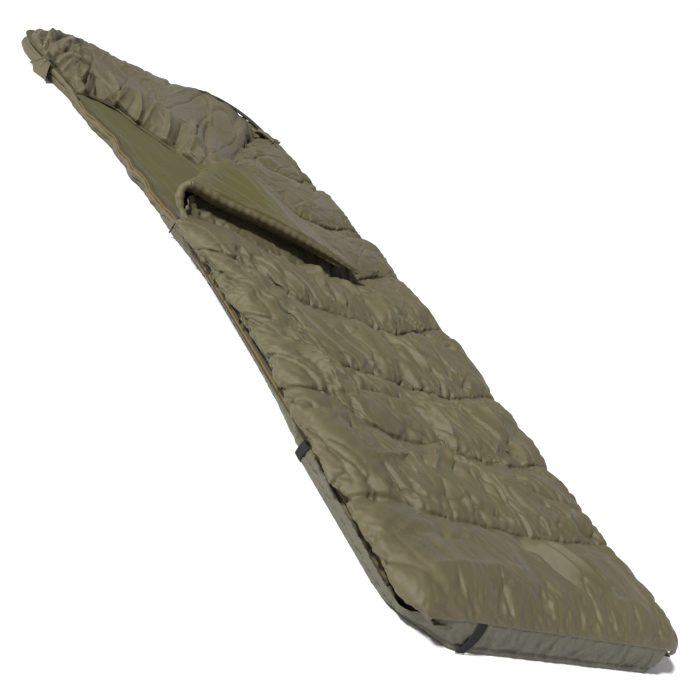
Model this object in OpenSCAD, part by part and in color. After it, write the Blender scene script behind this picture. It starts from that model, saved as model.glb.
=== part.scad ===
// Hooded rectangular sleeping bag, lying open at its left zip, with the top's upper left
// corner folded back. Millimetres. +Y runs to the head, +X to the sleeper's right, +Z up.
// The origin is on the ground, under the middle of the bag's box.

/* [Bag] */
// Width between the two zips
bag_w = 780; // [720:10:860]
// Length from the foot wall to the top of the hood
bag_l = 2270; // [2200:10:2320]
// Sideways place of the straight part's centre line
body_x = 84; // [70:1:96]
// How far the head end leans to the left as the bag lies
head_lean = 255; // [200:5:260]
// Where the lean begins, measured along the bag from its middle
lean_start = 150; // [150:5:200]
// Rounding of the hood's left corner, seen from above
head_r_left = 200; // [160:10:240]
// Rounding of the hood's right corner, seen from above
head_r_right = 130; // [100:10:160]

/* [Layers] */
// Thickness that each shell or lining cloth is given
cloth_t = 2; // [1.5:0.5:2.5]
// Thickness of the mat under the sleeper, cloths included
base_t = 30; // [26:1:32]
// Height of the space that the sleeper slides into
sleep_gap = 24; // [20:1:26]
// Height of the top's quilting seams
seam_z = 88; // [84:1:92]
// Height of the top between two seams
crown_z = 110; // [106:1:110]
// Number of quilted channels across the top
channels = 8; // [8]

/* [Foot band] */
// Height of the upright band round the foot
foot_band_h = 72; // [60:1:76]
// Height of the band along the two sides
side_band_h = 30; // [24:1:30]
// Thickness of the band
band_t = 4; // [3:0.5:4]
// Length of the band along each side, from the foot
side_band_l = 500; // [460:10:520]

/* [Folded corner] */
// Thickness of the folded corner
corner_t = 28; // [24:1:30]
// Gap between the folded corner and the top that it lies on
corner_gap = 3; // [3:0.5:5]
// Radius of the padded tube along the zip edges
tube_r = 10; // [9:1:11]

/* [Zips] */
// Height of the zips above the ground
zip_z = 52; // [50:1:54]
// Thickness of the zip tape
tape_t = 1.2; // [1:0.1:1.4]
// Gap between the two rows of coil
coil_gap = 2.4; // [2.2:0.1:2.8]
// Height of one row of coil
coil_h = 2.4; // [2:0.1:2.6]
// Place of the left slider along the bag
left_slider_y = 150; // [100:5:150]
// Place of the right slider along the bag
right_slider_y = -1050; // [-1050:5:-1000]

/* [Hidden] */
$fn = 48;
head_y = bag_l / 2;
foot_y = -bag_l / 2;
half_w = bag_w / 2;
step = 30;
zip_inset = 10;
end_gap = 3;
top_z = base_t + sleep_gap;
pitch = 255;
first_seam_y = foot_y + 275;
// the fold line of the corner, from the zip edge to the neck, and the corner's tip
fold_a = [body_x - 378, 190];
fold_b = [body_x - 110, 505];
tip = [body_x + 120, 70];
fold_z = crown_z + corner_gap / 2;
corner_z = crown_z + corner_gap;
// the neck line, where the top meets the hood, and the hood's brim
neck = [for (p = [[-8, 668], [166, 880], [214, 930]]) p + [body_x, 0]];
brim = [for (p = [[-332, 596], [-220, 562], [-128, 545]]) p + [body_x, 0]];
brim_y = 735;
brim_depth = 5;
foot_corner_l = [118, 112];
foot_corner_r = 60;
left_zip_foot = foot_y + 116;
left_zip_head = 730;
right_zip_foot = foot_y + 66;
right_zip_head = 905;
hood_floor_z = base_t + 20;
left_x = body_x - half_w;
right_x = body_x + half_w;
bail_r = 0.8;
bail_out = 9;
ring_r = 2.4;
ring_wire = 0.7;
ring_drop = 0.6;
tab_mid_y = 890;
tab_w = 58;
tab_l = 40;
tab_turn = 16;

// how far the outline has leant to the left at y
function lean(y) = y < lean_start ? 0
    : -head_lean * pow((y - lean_start) / (head_y - lean_start), 2);
// how far a head corner of radius r has rounded in at y
function rounded(y, r) = y < head_y - r ? 0
    : r - sqrt(max(0, r * r - pow(y - head_y + r, 2)));
function left_edge(y) = left_x + lean(y) + rounded(y, head_r_left);
function right_edge(y) = right_x + lean(y) - rounded(y, head_r_right);
// places along the bag, about a step apart, from y0 to y1
function stops(y0, y1) = let (n = max(1, ceil(abs(y1 - y0) / step)))
    [for (i = [0 : n]) y0 + (y1 - y0) * i / n];
// the left or right edge from y0 to y1, moved by dx
function left_side(y0, y1, dx = 0) = [for (y = stops(y0, y1)) [left_edge(y) + dx, y]];
function right_side(y0, y1, dx = 0) = [for (y = stops(y0, y1)) [right_edge(y) + dx, y]];
// the foot from left to right, with its cut left corner and round right corner
function foot_line(inset) = concat(
    [[left_x + inset, foot_y + foot_corner_l.y + inset / 2],
     [left_x + foot_corner_l.x + inset / 2, foot_y + inset]],
    [for (a = [-90 : 15 : 0])
        [right_x - foot_corner_r + (foot_corner_r - inset) * cos(a),
         foot_y + foot_corner_r + (foot_corner_r - inset) * sin(a)]]);
// height of the quilted top at y, less drop: a half wave from seam to seam
function seam(i) = i == 0 ? foot_y + end_gap : first_seam_y + (i - 1) * pitch;
function channel_end(i) = i == channels ? head_y : seam(i);
function crown(i, t, drop) = seam_z - drop + (crown_z - seam_z) * sin(180 * t);
function channel_line(i, drop) = let (y0 = seam(i - 1), y1 = channel_end(i))
    [for (k = [0 : 6]) [y0 + (y1 - y0) * k / 6, crown(i, k / 6, drop)]];

// a flat layer between two heights
module layer(z0, z1) {
    translate([0, 0, z0])
        linear_extrude(z1 - z0)
            children();
}
// the whole bag seen from above, moved in by inset
module bag_plan(inset = 0) {
    polygon(concat(foot_line(inset), right_side(foot_y + 100, head_y - inset, -inset),
        left_side(head_y - inset, foot_y + 160, inset)));
}
// the quilted top seen from above: it stops at the fold line and the neck line
module top_plan(inset = zip_inset) {
    polygon(concat(foot_line(inset), right_side(foot_y + 100, neck[2].y - 15, -inset),
        [neck[2] - [4, 3], neck[1] - [0, 3], neck[0] - [0, 3], fold_b + [3, -3],
         fold_a + [4, -4]],
        left_side(fold_a.y - 20, foot_y + 160, inset)));
}
// the hood's brim from the left edge to the neck line
brim_line = concat([[left_edge(brim_y) - 40, brim_y + 6]], brim);
// the hood seen from above: from its brim and the neck line to the head end
module hood_plan() {
    intersection() {
        bag_plan(band_t);
        polygon(concat(brim_line, [for (p = neck) p + [0, 3]],
            [[neck[2].x + 60, neck[2].y + 30], [neck[2].x + 60, head_y],
             [left_edge(brim_y) - 140, head_y]]));
    }
}
// a strip along one edge, between two distances from it
module left_strip(d0, d1, y0, y1) {
    polygon(concat(left_side(y0, y1, d0), left_side(y1, y0, d1)));
}
module right_strip(d0, d1, y0, y1) {
    polygon(concat(right_side(y0, y1, d0), right_side(y1, y0, d1)));
}
// an outline in the Y-Z plane, drawn out across the bag
module across(pts, x0 = -700, x1 = 700) {
    translate([x0, 0, 0])
        rotate([90, 0, 90])
            linear_extrude(x1 - x0)
                polygon(pts);
}
// the folded corner seen from above
module corner_plan() {
    polygon([fold_a + [5, -2], fold_b + [2, -4], tip + [-6, 10], tip + [-14, 0]]);
}

module base_shell() {
    color("#5b5a48")
        layer(0, cloth_t)
            bag_plan(band_t);
}
module base_wadding() {
    color("#d8d4c4")
        layer(cloth_t, base_t - cloth_t)
            bag_plan(band_t);
}
module base_lining() {
    color("#6c6a3a")
        layer(base_t - cloth_t, base_t)
            bag_plan(band_t);
}
// the upright band: tall at the foot, low along the sides under the zips
module foot_band() {
    color("#77766a") {
        difference() {
            layer(0, foot_band_h)
                bag_plan(0);
            layer(-1, foot_band_h + 1)
                bag_plan(band_t);
            translate([-700, foot_y + foot_corner_l.y, side_band_h])
                cube([1400, bag_l, foot_band_h]);
            translate([0, foot_y + foot_corner_r + 2, side_band_h])
                cube([700, bag_l, foot_band_h]);
            translate([-700, foot_y + side_band_l, -1])
                cube([1400, bag_l, foot_band_h]);
        }
    }
}
// the outer cloth of the top: a skin over the row of crowned channels
module top_shell() {
    outer = [for (i = [1 : channels]) each channel_line(i, 0)];
    inner = [for (i = [1 : channels]) each channel_line(i, cloth_t)];
    color("#6b6650")
        intersection() {
            across(concat(outer, [for (k = [len(inner) - 1 : -1 : 0]) inner[k]]));
            layer(0, crown_z + 5)
                top_plan();
        }
}
// the filling of one channel
module top_channel(i) {
    line = channel_line(i, cloth_t);
    color("#d8d4c4")
        intersection() {
            across(concat([[seam(i - 1), top_z + cloth_t]], line,
                [[channel_end(i), top_z + cloth_t]]));
            layer(0, crown_z + 5)
                top_plan();
        }
}
module top_lining() {
    color("#6c6a3a")
        layer(top_z, top_z + cloth_t)
            top_plan();
}
// height of the hood above the ground along the bag, less drop
function hood_line(drop) = [for (p = [[480, 78], [600, 84], [700, 95], [850, 106],
    [970, 106], [1060, 96], [1110, 82], [1140, 70]]) [p.x, p.y - drop]];
module hood_part(lower, upper) {
    intersection() {
        across(concat(upper, [for (k = [len(lower) - 1 : -1 : 0]) lower[k]]));
        layer(0, crown_z + 5)
            hood_plan();
    }
}
module hood_shell() {
    color("#6b6650")
        hood_part(hood_line(cloth_t), hood_line(0));
}
module hood_wadding() {
    floor_z = hood_floor_z + cloth_t;
    color("#d8d4c4")
        hood_part([[480, floor_z], [1140, floor_z]], hood_line(cloth_t));
}
module hood_lining() {
    color("#6c6a3a")
        layer(hood_floor_z, hood_floor_z + cloth_t)
            hood_plan();
}
// the wall that joins the hood to the base round the head end
module hood_wall() {
    color("#6b6650")
        difference() {
            layer(0, 66)
                bag_plan(0);
            layer(-1, 67)
                bag_plan(band_t);
            translate([-700, -1400, -1])
                cube([1400, 1400 + 755, 80]);
            translate([100, -1400, -1])
                cube([600, 1400 + 940, 80]);
        }
}
// the bound edge of the hood's brim
module brim_binding() {
    last = len(brim_line) - 1;
    color("#4f4c3a")
        layer(hood_floor_z + 4, 74)
            intersection() {
                bag_plan(band_t);
                polygon(concat(brim_line,
                    [for (k = [last : -1 : 0]) brim_line[k] - [1, brim_depth]]));
            }
}

// The two halves of each zip: tape with a flange sewn to the base or the top, and a row of
// coil on the tape's outer face. side is -1 on the left and 1 on the right.
base_row_z = zip_z - coil_gap / 2 - coil_h;
top_row_z = zip_z + coil_gap / 2;
tape_high = 74;
coil_t = 2.2;
module side_strip(side, d0, d1, y0, y1) {
    if (side < 0)
        left_strip(d0, d1, y0, y1);
    else
        right_strip(-d0, -d1, y0, y1);
}
module base_tape(side, y0, y1) {
    color("#4a4431") {
        layer(base_t, base_row_z + coil_h)
            side_strip(side, -tape_t / 2, tape_t / 2, y0, y1);
        layer(base_t, base_t + tape_t)
            side_strip(side, -tape_t / 2, 14, y0, y1);
    }
}
module top_tape(side, y0, y1) {
    color("#4a4431") {
        layer(top_row_z, tape_high)
            side_strip(side, -tape_t / 2, tape_t / 2, y0, y1);
        layer(tape_high - tape_t, tape_high)
            side_strip(side, -tape_t / 2, zip_inset - 0.5, y0, y1);
    }
}
module coil_row(side, z, y0, y1) {
    color("#2b2a25")
        layer(z, z + coil_h)
            side_strip(side, -tape_t / 2 - coil_t, -tape_t / 2, y0, y1);
}
module left_tape_base() {
    base_tape(-1, left_zip_foot, left_zip_head);
}
module left_tape_top() {
    top_tape(-1, left_zip_foot, left_slider_y);
}
module left_coil_base() {
    coil_row(-1, base_row_z, left_zip_foot, left_zip_head);
}
module left_coil_top() {
    coil_row(-1, top_row_z, left_zip_foot, left_slider_y);
}
module right_tape_base() {
    base_tape(1, right_zip_foot, right_zip_head);
}
module right_tape_top() {
    top_tape(1, right_zip_foot, right_zip_head);
}
module right_coil_base() {
    coil_row(1, base_row_z, right_zip_foot, right_zip_head);
}
module right_coil_top() {
    coil_row(1, top_row_z, right_zip_foot, right_zip_head);
}
// padded tubes that lie behind the closed zips and keep the draught out
module left_draft_tube() {
    color("#6b6650")
        translate([left_x + zip_inset + tube_r, foot_y + 165, base_t + tape_t + tube_r])
            rotate([-90, 0, 0])
                cylinder(r = tube_r, h = left_slider_y - foot_y - 185);
}
module right_draft_tube() {
    color("#6b6650")
        translate([right_x - zip_inset - tube_r, foot_y + 90, base_t + tape_t + tube_r])
            rotate([-90, 0, 0])
                cylinder(r = tube_r, h = lean_start - foot_y - 90);
}
// metal end stops at the foot of the two zips, clipped round the tapes
module zip_stop(x, y, z) {
    translate([x - 1.1, y, z])
        cube([2.2, 4, 5]);
}
module zip_stops() {
    out = tape_t / 2 + 1.1;
    color("#8d8b84")
        for (z = [base_row_z - 3, top_row_z]) {
            zip_stop(left_x - out, left_zip_foot - 4, z);
            zip_stop(right_x + out, right_zip_foot - 4, z);
        }
}
// webbing sewn upright to the foot band
module foot_strap() {
    color("#1d1d1e")
        translate([-192, foot_y - 1.6, 2])
            cube([25, 1.6, foot_band_h]);
}
module side_strap() {
    color("#1d1d1e")
        translate([left_x - 1.6, -660, 1])
            cube([1.6, 25, side_band_h - 2]);
}
// a webbing loop at the right side of the neck: two legs and a round end
module neck_loop() {
    color("#1d1d1e")
        translate([right_edge(802) - 8, 820, 86])
            rotate([0, 0, tab_turn])
                rotate([90, 0, 0])
                    linear_extrude(18)
                        difference() {
                            union() {
                                square([14, 7]);
                                translate([14, 3.5])
                                    circle(3.5);
                            }
                            translate([-1, 1.3])
                                square([15, 4.4]);
                            translate([14, 3.5])
                                circle(2.2);
                        }
}

module corner_skin(z0, z1) {
    layer(z0, z1)
        corner_plan();
}
module corner_shell() {
    color("#6b6650")
        corner_skin(corner_z, corner_z + cloth_t);
}
module corner_wadding() {
    color("#d8d4c4")
        corner_skin(corner_z + cloth_t, corner_z + corner_t - cloth_t);
}
module corner_lining() {
    color("#6c6a3a")
        corner_skin(corner_z + corner_t - cloth_t, corner_z + corner_t);
}
rim_v = tip - fold_a;
rim_l = norm(rim_v);
rim_turn = atan2(rim_v.y, rim_v.x);
// the corner's zip edge, in a frame with X along the edge and Y into the corner
module along_rim() {
    translate([fold_a.x, fold_a.y, 0])
        rotate([0, 0, rim_turn])
            children();
}
module corner_draft_tube() {
    color("#6b6650")
        along_rim()
            translate([12, -tube_r - 6, corner_z + corner_t / 2])
                rotate([0, 90, 0])
                    cylinder(r = tube_r, h = rim_l - 26);
}
module corner_tape() {
    color("#4a4431")
        along_rim()
            translate([12, -2 * tube_r - 17, corner_z + corner_t / 2 - 0.6])
                cube([rim_l - 30, 11, tape_t]);
}
module corner_coil() {
    color("#2b2a25")
        along_rim()
            translate([14, -2 * tube_r - 17, corner_z + corner_t / 2 + 0.6])
                cube([rim_l - 40, coil_h, 2.2]);
}

// a slider: front plate with lips, post between the coils, back plate and a bail in front.
// It is drawn on the left zip, with the outside towards -X, and mirrored for the right.
slider_l = 17;
slider_h = 13;
lip = 2;
module slider() {
    translate([-5.2, -slider_l / 2, -slider_h / 2])
        cube([2, slider_l, slider_h]);
    translate([-3.3, -slider_l / 2, slider_h / 2 - 1.5])
        cube([lip, slider_l, 1.5]);
    translate([-3.3, -slider_l / 2, -slider_h / 2])
        cube([lip, slider_l, 1.5]);
    translate([-3.3, -3, -0.9])
        cube([4.5, 6, 1.8]);
    translate([1.1, -slider_l / 2, -slider_h / 2])
        cube([1.6, slider_l, slider_h]);
    for (s = [-1, 1])
        translate([-bail_out - bail_r, s * 5 - 0.8, -0.8])
            cube([bail_out - 4.3, 1.6, 1.6]);
    translate([-bail_out, -5, 0])
        rotate([-90, 0, 0])
            cylinder(r = bail_r, h = 10);
}
// a wire ring round the slider's bail
module pull_ring() {
    translate([0, 0, -ring_drop])
        rotate([90, 0, 0])
            rotate_extrude()
                translate([ring_r, 0])
                    circle(ring_wire);
}
module left_slider() {
    color("#34342f")
        translate([left_x, left_slider_y, zip_z])
            slider();
}
module right_slider() {
    color("#34342f")
        translate([right_x, right_slider_y, zip_z])
            mirror([1, 0, 0])
                slider();
}
module left_pull_ring() {
    color("#34342f")
        translate([left_x - bail_out, left_slider_y, zip_z])
            pull_ring();
}
ring_low = ring_drop + ring_r + ring_wire;
module left_pull_cord() {
    color("#1b1b1b")
        translate([left_x - bail_out, left_slider_y, zip_z - ring_low - 24])
            cylinder(r = 1.7, h = 24);
}
module left_pull_tip() {
    color("#1b1b1b")
        translate([left_x - bail_out, left_slider_y, zip_z - ring_low - 38])
            cylinder(r1 = 2.0, r2 = 2.6, h = 14);
}
// the right slider's flat metal tab, with the eye round the bail and a hole at its foot
tab_drop = 20;
module right_pull_tab() {
    color("#8d8b84")
        translate([right_x + bail_out, right_slider_y, zip_z])
            rotate([90, 0, 0])
                translate([0, 0, -0.7])
                    linear_extrude(1.4)
                        difference() {
                            union() {
                                circle(2.6);
                                translate([-2.2, -tab_drop])
                                    square([4.4, tab_drop]);
                                translate([0, -tab_drop])
                                    circle(2.2);
                            }
                            circle(1.2);
                            translate([0, -tab_drop])
                                circle(1.3);
                        }
}
toggle_z = zip_z - tab_drop;
eye_r = 2.3;
eye_low = 2 * eye_r + 0.9;
// a cord with an eye at its top that passes through the tab's lower hole
module right_toggle_cord() {
    color("#a9a79c")
        translate([right_x + bail_out, right_slider_y, toggle_z]) {
            translate([0, 0, -eye_r])
                rotate([0, 90, 0])
                    rotate_extrude()
                        translate([eye_r, 0])
                            circle(0.9);
            translate([0, 0, -16])
                cylinder(r = 0.9, h = 16.5 - eye_low);
        }
}
module right_toggle() {
    color("#1b1b1b")
        translate([right_x + bail_out, right_slider_y, toggle_z - 28])
            cylinder(r = 2.8, h = 12);
}

// the neck tab hangs from the base's left edge, below the end of the zip
module at_tab() {
    translate([left_edge(tab_mid_y) - 5, tab_mid_y, 46])
        rotate([0, 0, tab_turn])
            children();
}
module neck_tab() {
    color("#6b6650")
        at_tab()
            translate([-1.5, -tab_w / 2, -tab_l])
                cube([3, tab_w, tab_l - 1]);
}
module neck_tab_hooks() {
    color("#2a2a26")
        at_tab()
            translate([-3, -tab_w / 2 + 8, -tab_l + 4])
                cube([1.5, tab_w - 16, 20]);
}
// the soft half of the tab's fastening, on the hood's wall
module tab_patch() {
    color("#2a2a26")
        layer(49, 63)
            left_strip(-1.4, -0.2, tab_mid_y - 22, tab_mid_y + 22);
}

base_shell();
base_wadding();
base_lining();
foot_band();
top_shell();
top_channel(1);  // top_channel_1
top_channel(2);  // top_channel_2
top_channel(3);  // top_channel_3
top_channel(4);  // top_channel_4
top_channel(5);  // top_channel_5
top_channel(6);  // top_channel_6
top_channel(7);  // top_channel_7
top_channel(8);  // top_channel_8
top_lining();
hood_shell();
hood_wadding();
hood_lining();
hood_wall();
brim_binding();
left_tape_base();
left_tape_top();
left_coil_base();
left_coil_top();
right_tape_base();
right_tape_top();
right_coil_base();
right_coil_top();
left_draft_tube();
right_draft_tube();
zip_stops();
foot_strap();
side_strap();
neck_loop();
tab_patch();
corner_shell();
corner_wadding();
corner_lining();
corner_draft_tube();
corner_tape();
corner_coil();
left_slider();
left_pull_ring();
left_pull_cord();
left_pull_tip();
right_slider();
right_pull_tab();
right_toggle_cord();
right_toggle();
neck_tab();
neck_tab_hooks();
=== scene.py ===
"""Looks of a hooded, quilted sleeping bag that lies open at its left zip.

Lengths are in metres, +Y runs to the head, +X to the sleeper's right, +Z up. Every cloth is
a grid of points worked out with numpy. The quilted top and the hood are then blown up with
Cloth between their held seams, refined, and creased.
"""
import math

import bpy
import numpy as np
from mathutils import Matrix, Vector


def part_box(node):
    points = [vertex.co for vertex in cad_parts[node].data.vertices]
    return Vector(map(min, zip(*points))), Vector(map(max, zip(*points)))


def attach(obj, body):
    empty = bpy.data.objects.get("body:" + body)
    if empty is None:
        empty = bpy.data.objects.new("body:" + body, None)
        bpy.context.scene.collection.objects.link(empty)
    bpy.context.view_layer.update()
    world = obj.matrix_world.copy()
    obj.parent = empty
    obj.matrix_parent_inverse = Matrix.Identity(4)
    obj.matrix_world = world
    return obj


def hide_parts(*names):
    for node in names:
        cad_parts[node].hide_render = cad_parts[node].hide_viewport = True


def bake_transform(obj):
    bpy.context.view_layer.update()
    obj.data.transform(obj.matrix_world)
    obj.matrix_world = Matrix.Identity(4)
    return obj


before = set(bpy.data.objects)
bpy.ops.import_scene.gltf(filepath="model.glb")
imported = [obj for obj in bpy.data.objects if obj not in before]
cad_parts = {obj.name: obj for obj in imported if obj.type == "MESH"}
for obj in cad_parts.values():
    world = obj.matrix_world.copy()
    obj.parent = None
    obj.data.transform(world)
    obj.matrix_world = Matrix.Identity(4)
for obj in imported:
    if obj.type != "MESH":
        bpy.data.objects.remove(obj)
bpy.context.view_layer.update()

# ---- camera

EYE = Vector((-1.8194, -2.1236, 0.9815))
YAW = math.radians(44.4407)
PITCH = math.radians(19.2380)
ROLL = math.radians(36.8201)
LENS_MM = 60.84
SENSOR_MM = 36.0
FAR = 60


def place_camera():
    """A camera at EYE that looks YAW clockwise from +Y and PITCH down, turned by ROLL."""
    ahead = Vector((math.sin(YAW) * math.cos(PITCH), math.cos(YAW) * math.cos(PITCH),
                    -math.sin(PITCH)))
    level = Vector((math.cos(YAW), -math.sin(YAW), 0))
    upward = level.cross(ahead)
    right = level * math.cos(ROLL) + upward * math.sin(ROLL)
    top = upward * math.cos(ROLL) - level * math.sin(ROLL)
    data = bpy.data.cameras.new("camera")
    data.lens = LENS_MM
    data.sensor_width = SENSOR_MM
    data.clip_end = FAR
    camera = bpy.data.objects.new("camera", data)
    camera.matrix_world = Matrix.Translation(EYE) @ Matrix(
        (right, top, -ahead)).transposed().to_4x4()
    bpy.context.scene.collection.objects.link(camera)
    bpy.context.scene.camera = camera


place_camera()

# ---- sizes from the frame


def centre(node):
    """The middle of a node's box, as x, y and z."""
    return [(low + high) / 2 for low, high in zip(*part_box(node))]


band_low, band_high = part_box("foot_band")
LEFT_X = band_low.x
RIGHT_X = band_high.x
FOOT_Y = band_low.y
HEAD_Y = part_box("hood_wall")[1].y
BAND_TOP = band_high.z
SIDE_BAND_END = band_high.y
FOOT_EDGE = FOOT_Y + 0.014
BASE_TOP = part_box("base_lining")[1].z
BASE_LOW = 0.0005
MAT_TOP = 0.0285
BASE_ROWS = 260
QUILT_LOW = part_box("top_lining")[0].z
QUILT_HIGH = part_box("top_shell")[1].z
LEFT_SLIDER_Y = centre("left_slider")[1]
SLIDER_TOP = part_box("left_slider")[1].z
LEFT_ZIP_FOOT, LEFT_ZIP_HEAD = (p.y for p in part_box("left_coil_base"))
RIGHT_ZIP_FOOT, RIGHT_ZIP_HEAD = (p.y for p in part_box("right_coil_base"))

# the bag's outline and the fold, as the frame's parts have them
HEAD_LEAN = 0.255
LEAN_START = 0.15
HEAD_R_LEFT = 0.20
HEAD_R_RIGHT = 0.13
FOOT_CUT = (0.118, 0.112)
FOOT_R = 0.06
PITCH_Y = 0.255
FIRST_SEAM_Y = FOOT_Y + 0.275
CHANNELS = 8
FOLD_A = np.array([-0.294, 0.190])
FOLD_B = np.array([-0.026, 0.505])
TIP = np.array([0.215, 0.082])
NECK = np.array([[0.076, 0.668], [0.250, 0.880], [0.298, 0.930]])
BRIM = np.array([[-0.400, 0.762], [-0.345, 0.790], [-0.262, 0.785], [-0.222, 0.728],
                 [-0.151, 0.673], [-0.085, 0.625], [-0.046, 0.562]])


def lean(y):
    """How far the outline has leant to the left: the square of the way up to the head."""
    return np.where(y < LEAN_START, 0.0,
                    -HEAD_LEAN * ((y - LEAN_START) / (HEAD_Y - LEAN_START)) ** 2)


def rounded(past, radius):
    """How far a quarter circle of that radius has drawn in, past its start."""
    past = np.clip(past, 0, radius)
    return radius - np.sqrt(np.maximum(radius ** 2 - past ** 2, 0))


def left_edge(y):
    """The bag's left side at y."""
    return LEFT_X + lean(y) + rounded(y - (HEAD_Y - HEAD_R_LEFT), HEAD_R_LEFT)


def right_edge(y):
    """The bag's right side at y."""
    return RIGHT_X + lean(y) - rounded(y - (HEAD_Y - HEAD_R_RIGHT), HEAD_R_RIGHT)


# ---- numbers that make cloth


def ramp(a, b, x):
    """0 before a, 1 after b, and an S-shaped cubic between."""
    t = np.clip((x - a) / (b - a), 0, 1)
    return t * t * (3 - 2 * t)


def bulge(q):
    """A quarter circle: 0 at 0, upright there, and level at 1."""
    return np.sqrt(np.clip(1 - (1 - np.clip(q, 0, 1)) ** 2, 0, 1))


class Noise:
    """Smooth random heights from -1 to 1 on the plane, the same for the same seed.

    Each cell's four corners hold a random slope, and their planes are blended with the
    quintic fade 6t^5 - 15t^4 + 10t^3."""

    SIZE = 256

    def __init__(self, seed):
        angle = np.random.default_rng(seed).uniform(0, 2 * np.pi, (self.SIZE, self.SIZE))
        self.slope = np.stack([np.cos(angle), np.sin(angle)], -1)

    def __call__(self, x, y):
        x, y = np.broadcast_arrays(np.asarray(x, float), np.asarray(y, float))
        ix, iy = np.floor(x).astype(int), np.floor(y).astype(int)
        fx, fy = x - ix, y - iy
        wx = fx ** 3 * (fx * (6 * fx - 15) + 10)
        wy = fy ** 3 * (fy * (6 * fy - 15) + 10)

        def corner(dx, dy):
            s = self.slope[(ix + dx) % self.SIZE, (iy + dy) % self.SIZE]
            return s[..., 0] * (fx - dx) + s[..., 1] * (fy - dy)

        low = corner(0, 0) * (1 - wx) + corner(1, 0) * wx
        high = corner(0, 1) * (1 - wx) + corner(1, 1) * wx
        return 1.5 * (low * (1 - wy) + high * wy)


def folds(x, y, seed, cell, stretch=1.0, angle=0.0, sharp=1.0):
    """Sharp-crested folds: 1 on the lines where a noise is 0, falling away on both sides.

    The noise's cells are cell wide and stretch times as long, and run at angle degrees."""
    noise = Noise(seed)
    a = math.radians(angle)
    along = (x * math.cos(a) + y * math.sin(a)) / (cell * stretch)
    over = (y * math.cos(a) - x * math.sin(a)) / cell
    bent = over + 0.35 * noise(along * 1.7 + 9.1, over * 0.6)
    return (1 - np.abs(noise(along, bent))) ** (2 * sharp)


def crease(x, y, start, end, width, height, bow=0.0):
    """One ridge, or a valley with a negative height, from start to end.

    Its line bows sideways as a parabola, its section falls off as exp(-(d/width)^1.4), and
    its height as the square root of a half sine along it."""
    (x0, y0), (x1, y1) = start, end
    dx, dy = x1 - x0, y1 - y0
    long = math.hypot(dx, dy)
    t = ((x - x0) * dx + (y - y0) * dy) / long ** 2
    off = ((y - y0) * dx - (x - x0) * dy) / long - bow * 4 * t * (1 - t)
    ends = np.sqrt(np.sin(np.pi * np.clip(t, 0, 1)))
    return height * ends * np.exp(-np.abs(off / width) ** 1.4)


def crease_field(x, y, seed, count, box, angle, spread, length, width, height):
    """The sum of count random creases whose middles lie in box = (x0, x1, y0, y1)."""
    pick = np.random.default_rng(seed)
    total = np.zeros_like(x)
    for _ in range(count):
        mid = np.array([pick.uniform(box[0], box[1]), pick.uniform(box[2], box[3])])
        a = math.radians(angle + pick.normal(0, spread))
        half = 0.5 * length * pick.uniform(0.5, 1.4) * np.array([math.cos(a), math.sin(a)])
        total += crease(x, y, mid - half, mid + half, width * pick.uniform(0.6, 1.5),
                        height * pick.choice([1.0, -0.8]) * pick.uniform(0.3, 1.0),
                        bow=pick.normal(0, 0.07) * length)
    return total


def doubled(grid, axis):
    """Twice as many points along axis: new ones by the rule (-1, 9, 9, -1) / 16."""
    g = np.moveaxis(grid, axis, 0)
    padded = np.concatenate([2 * g[:1] - g[1:2], g, 2 * g[-1:] - g[-2:-1]])
    mid = (9 * (padded[1:-2] + padded[2:-1]) - padded[:-3] - padded[3:]) / 16
    out = np.empty((2 * len(g) - 1,) + g.shape[1:])
    out[::2] = g
    out[1::2] = mid
    return np.moveaxis(out, 0, axis)


def refined(grid):
    """The grid with its cells halved both ways."""
    return doubled(doubled(grid, 0), 1)


FINER = 4


def much_refined(grid):
    """The grid with FINER times as many cells both ways."""
    return refined(refined(grid))


def normals(grid):
    """Unit normals of a (rows, columns, 3) grid from its two directions of slope."""
    across = np.gradient(grid, axis=1)
    along = np.gradient(grid, axis=0)
    n = np.cross(across, along)
    return n / np.maximum(np.linalg.norm(n, axis=-1, keepdims=True), 1e-12)


def pushed(grid, amount):
    """The grid moved along its normals by amount."""
    return grid + normals(grid) * amount[..., None]


def gone_along(line):
    """The distance along a line of points, at each point."""
    return np.concatenate([[0], np.cumsum(np.linalg.norm(np.diff(line, axis=0), axis=1))])


def outward(line):
    """Unit vectors across a line in plan, to the right of the way it runs."""
    tangent = np.gradient(line, axis=0)
    out = np.stack([tangent[:, 1], -tangent[:, 0]], -1)
    return out / np.linalg.norm(out, axis=1, keepdims=True)


def edges_held(grid):
    """True at the two outer rows and columns of a grid of points."""
    held = np.ones(grid.shape[:2], bool)
    held[2:-2, 2:-2] = False
    return held


def resampled(points, count):
    """count points spaced evenly along a line of points."""
    points = np.asarray(points, float)
    gone = gone_along(points)
    at = np.linspace(0, gone[-1], count)
    return np.stack([np.interp(at, gone, points[:, k]) for k in range(points.shape[1])], -1)


def smoothed(points, rounds=8):
    """The line with its corners eased: each inner point moves to the mean of itself and
    the middle of its neighbours, several times."""
    p = np.array(points, float)
    for _ in range(rounds):
        p[1:-1] = 0.5 * p[1:-1] + 0.25 * (p[:-2] + p[2:])
    return p


# ---- meshes


def grid_faces(rows, columns, around=False):
    """Quads of a grid, as corner numbers; around joins the last column to the first."""
    r = np.arange(rows - 1)[:, None]
    c = np.arange(columns if around else columns - 1)[None, :]
    n = (c + 1) % columns
    quads = np.stack([r * columns + c, r * columns + n, (r + 1) * columns + n,
                      (r + 1) * columns + c], -1)
    return quads.reshape(-1, 4)


def add_cloth_uv(mesh, point_uv):
    """The UV layer that every woven finish reads, from a place for each point."""
    layer = mesh.uv_layers.new(name="cloth")
    loops = np.empty(len(mesh.loops), np.int32)
    mesh.loops.foreach_get("vertex_index", loops)
    layer.data.foreach_set("uv", point_uv[loops].astype(np.float32).ravel())


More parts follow.
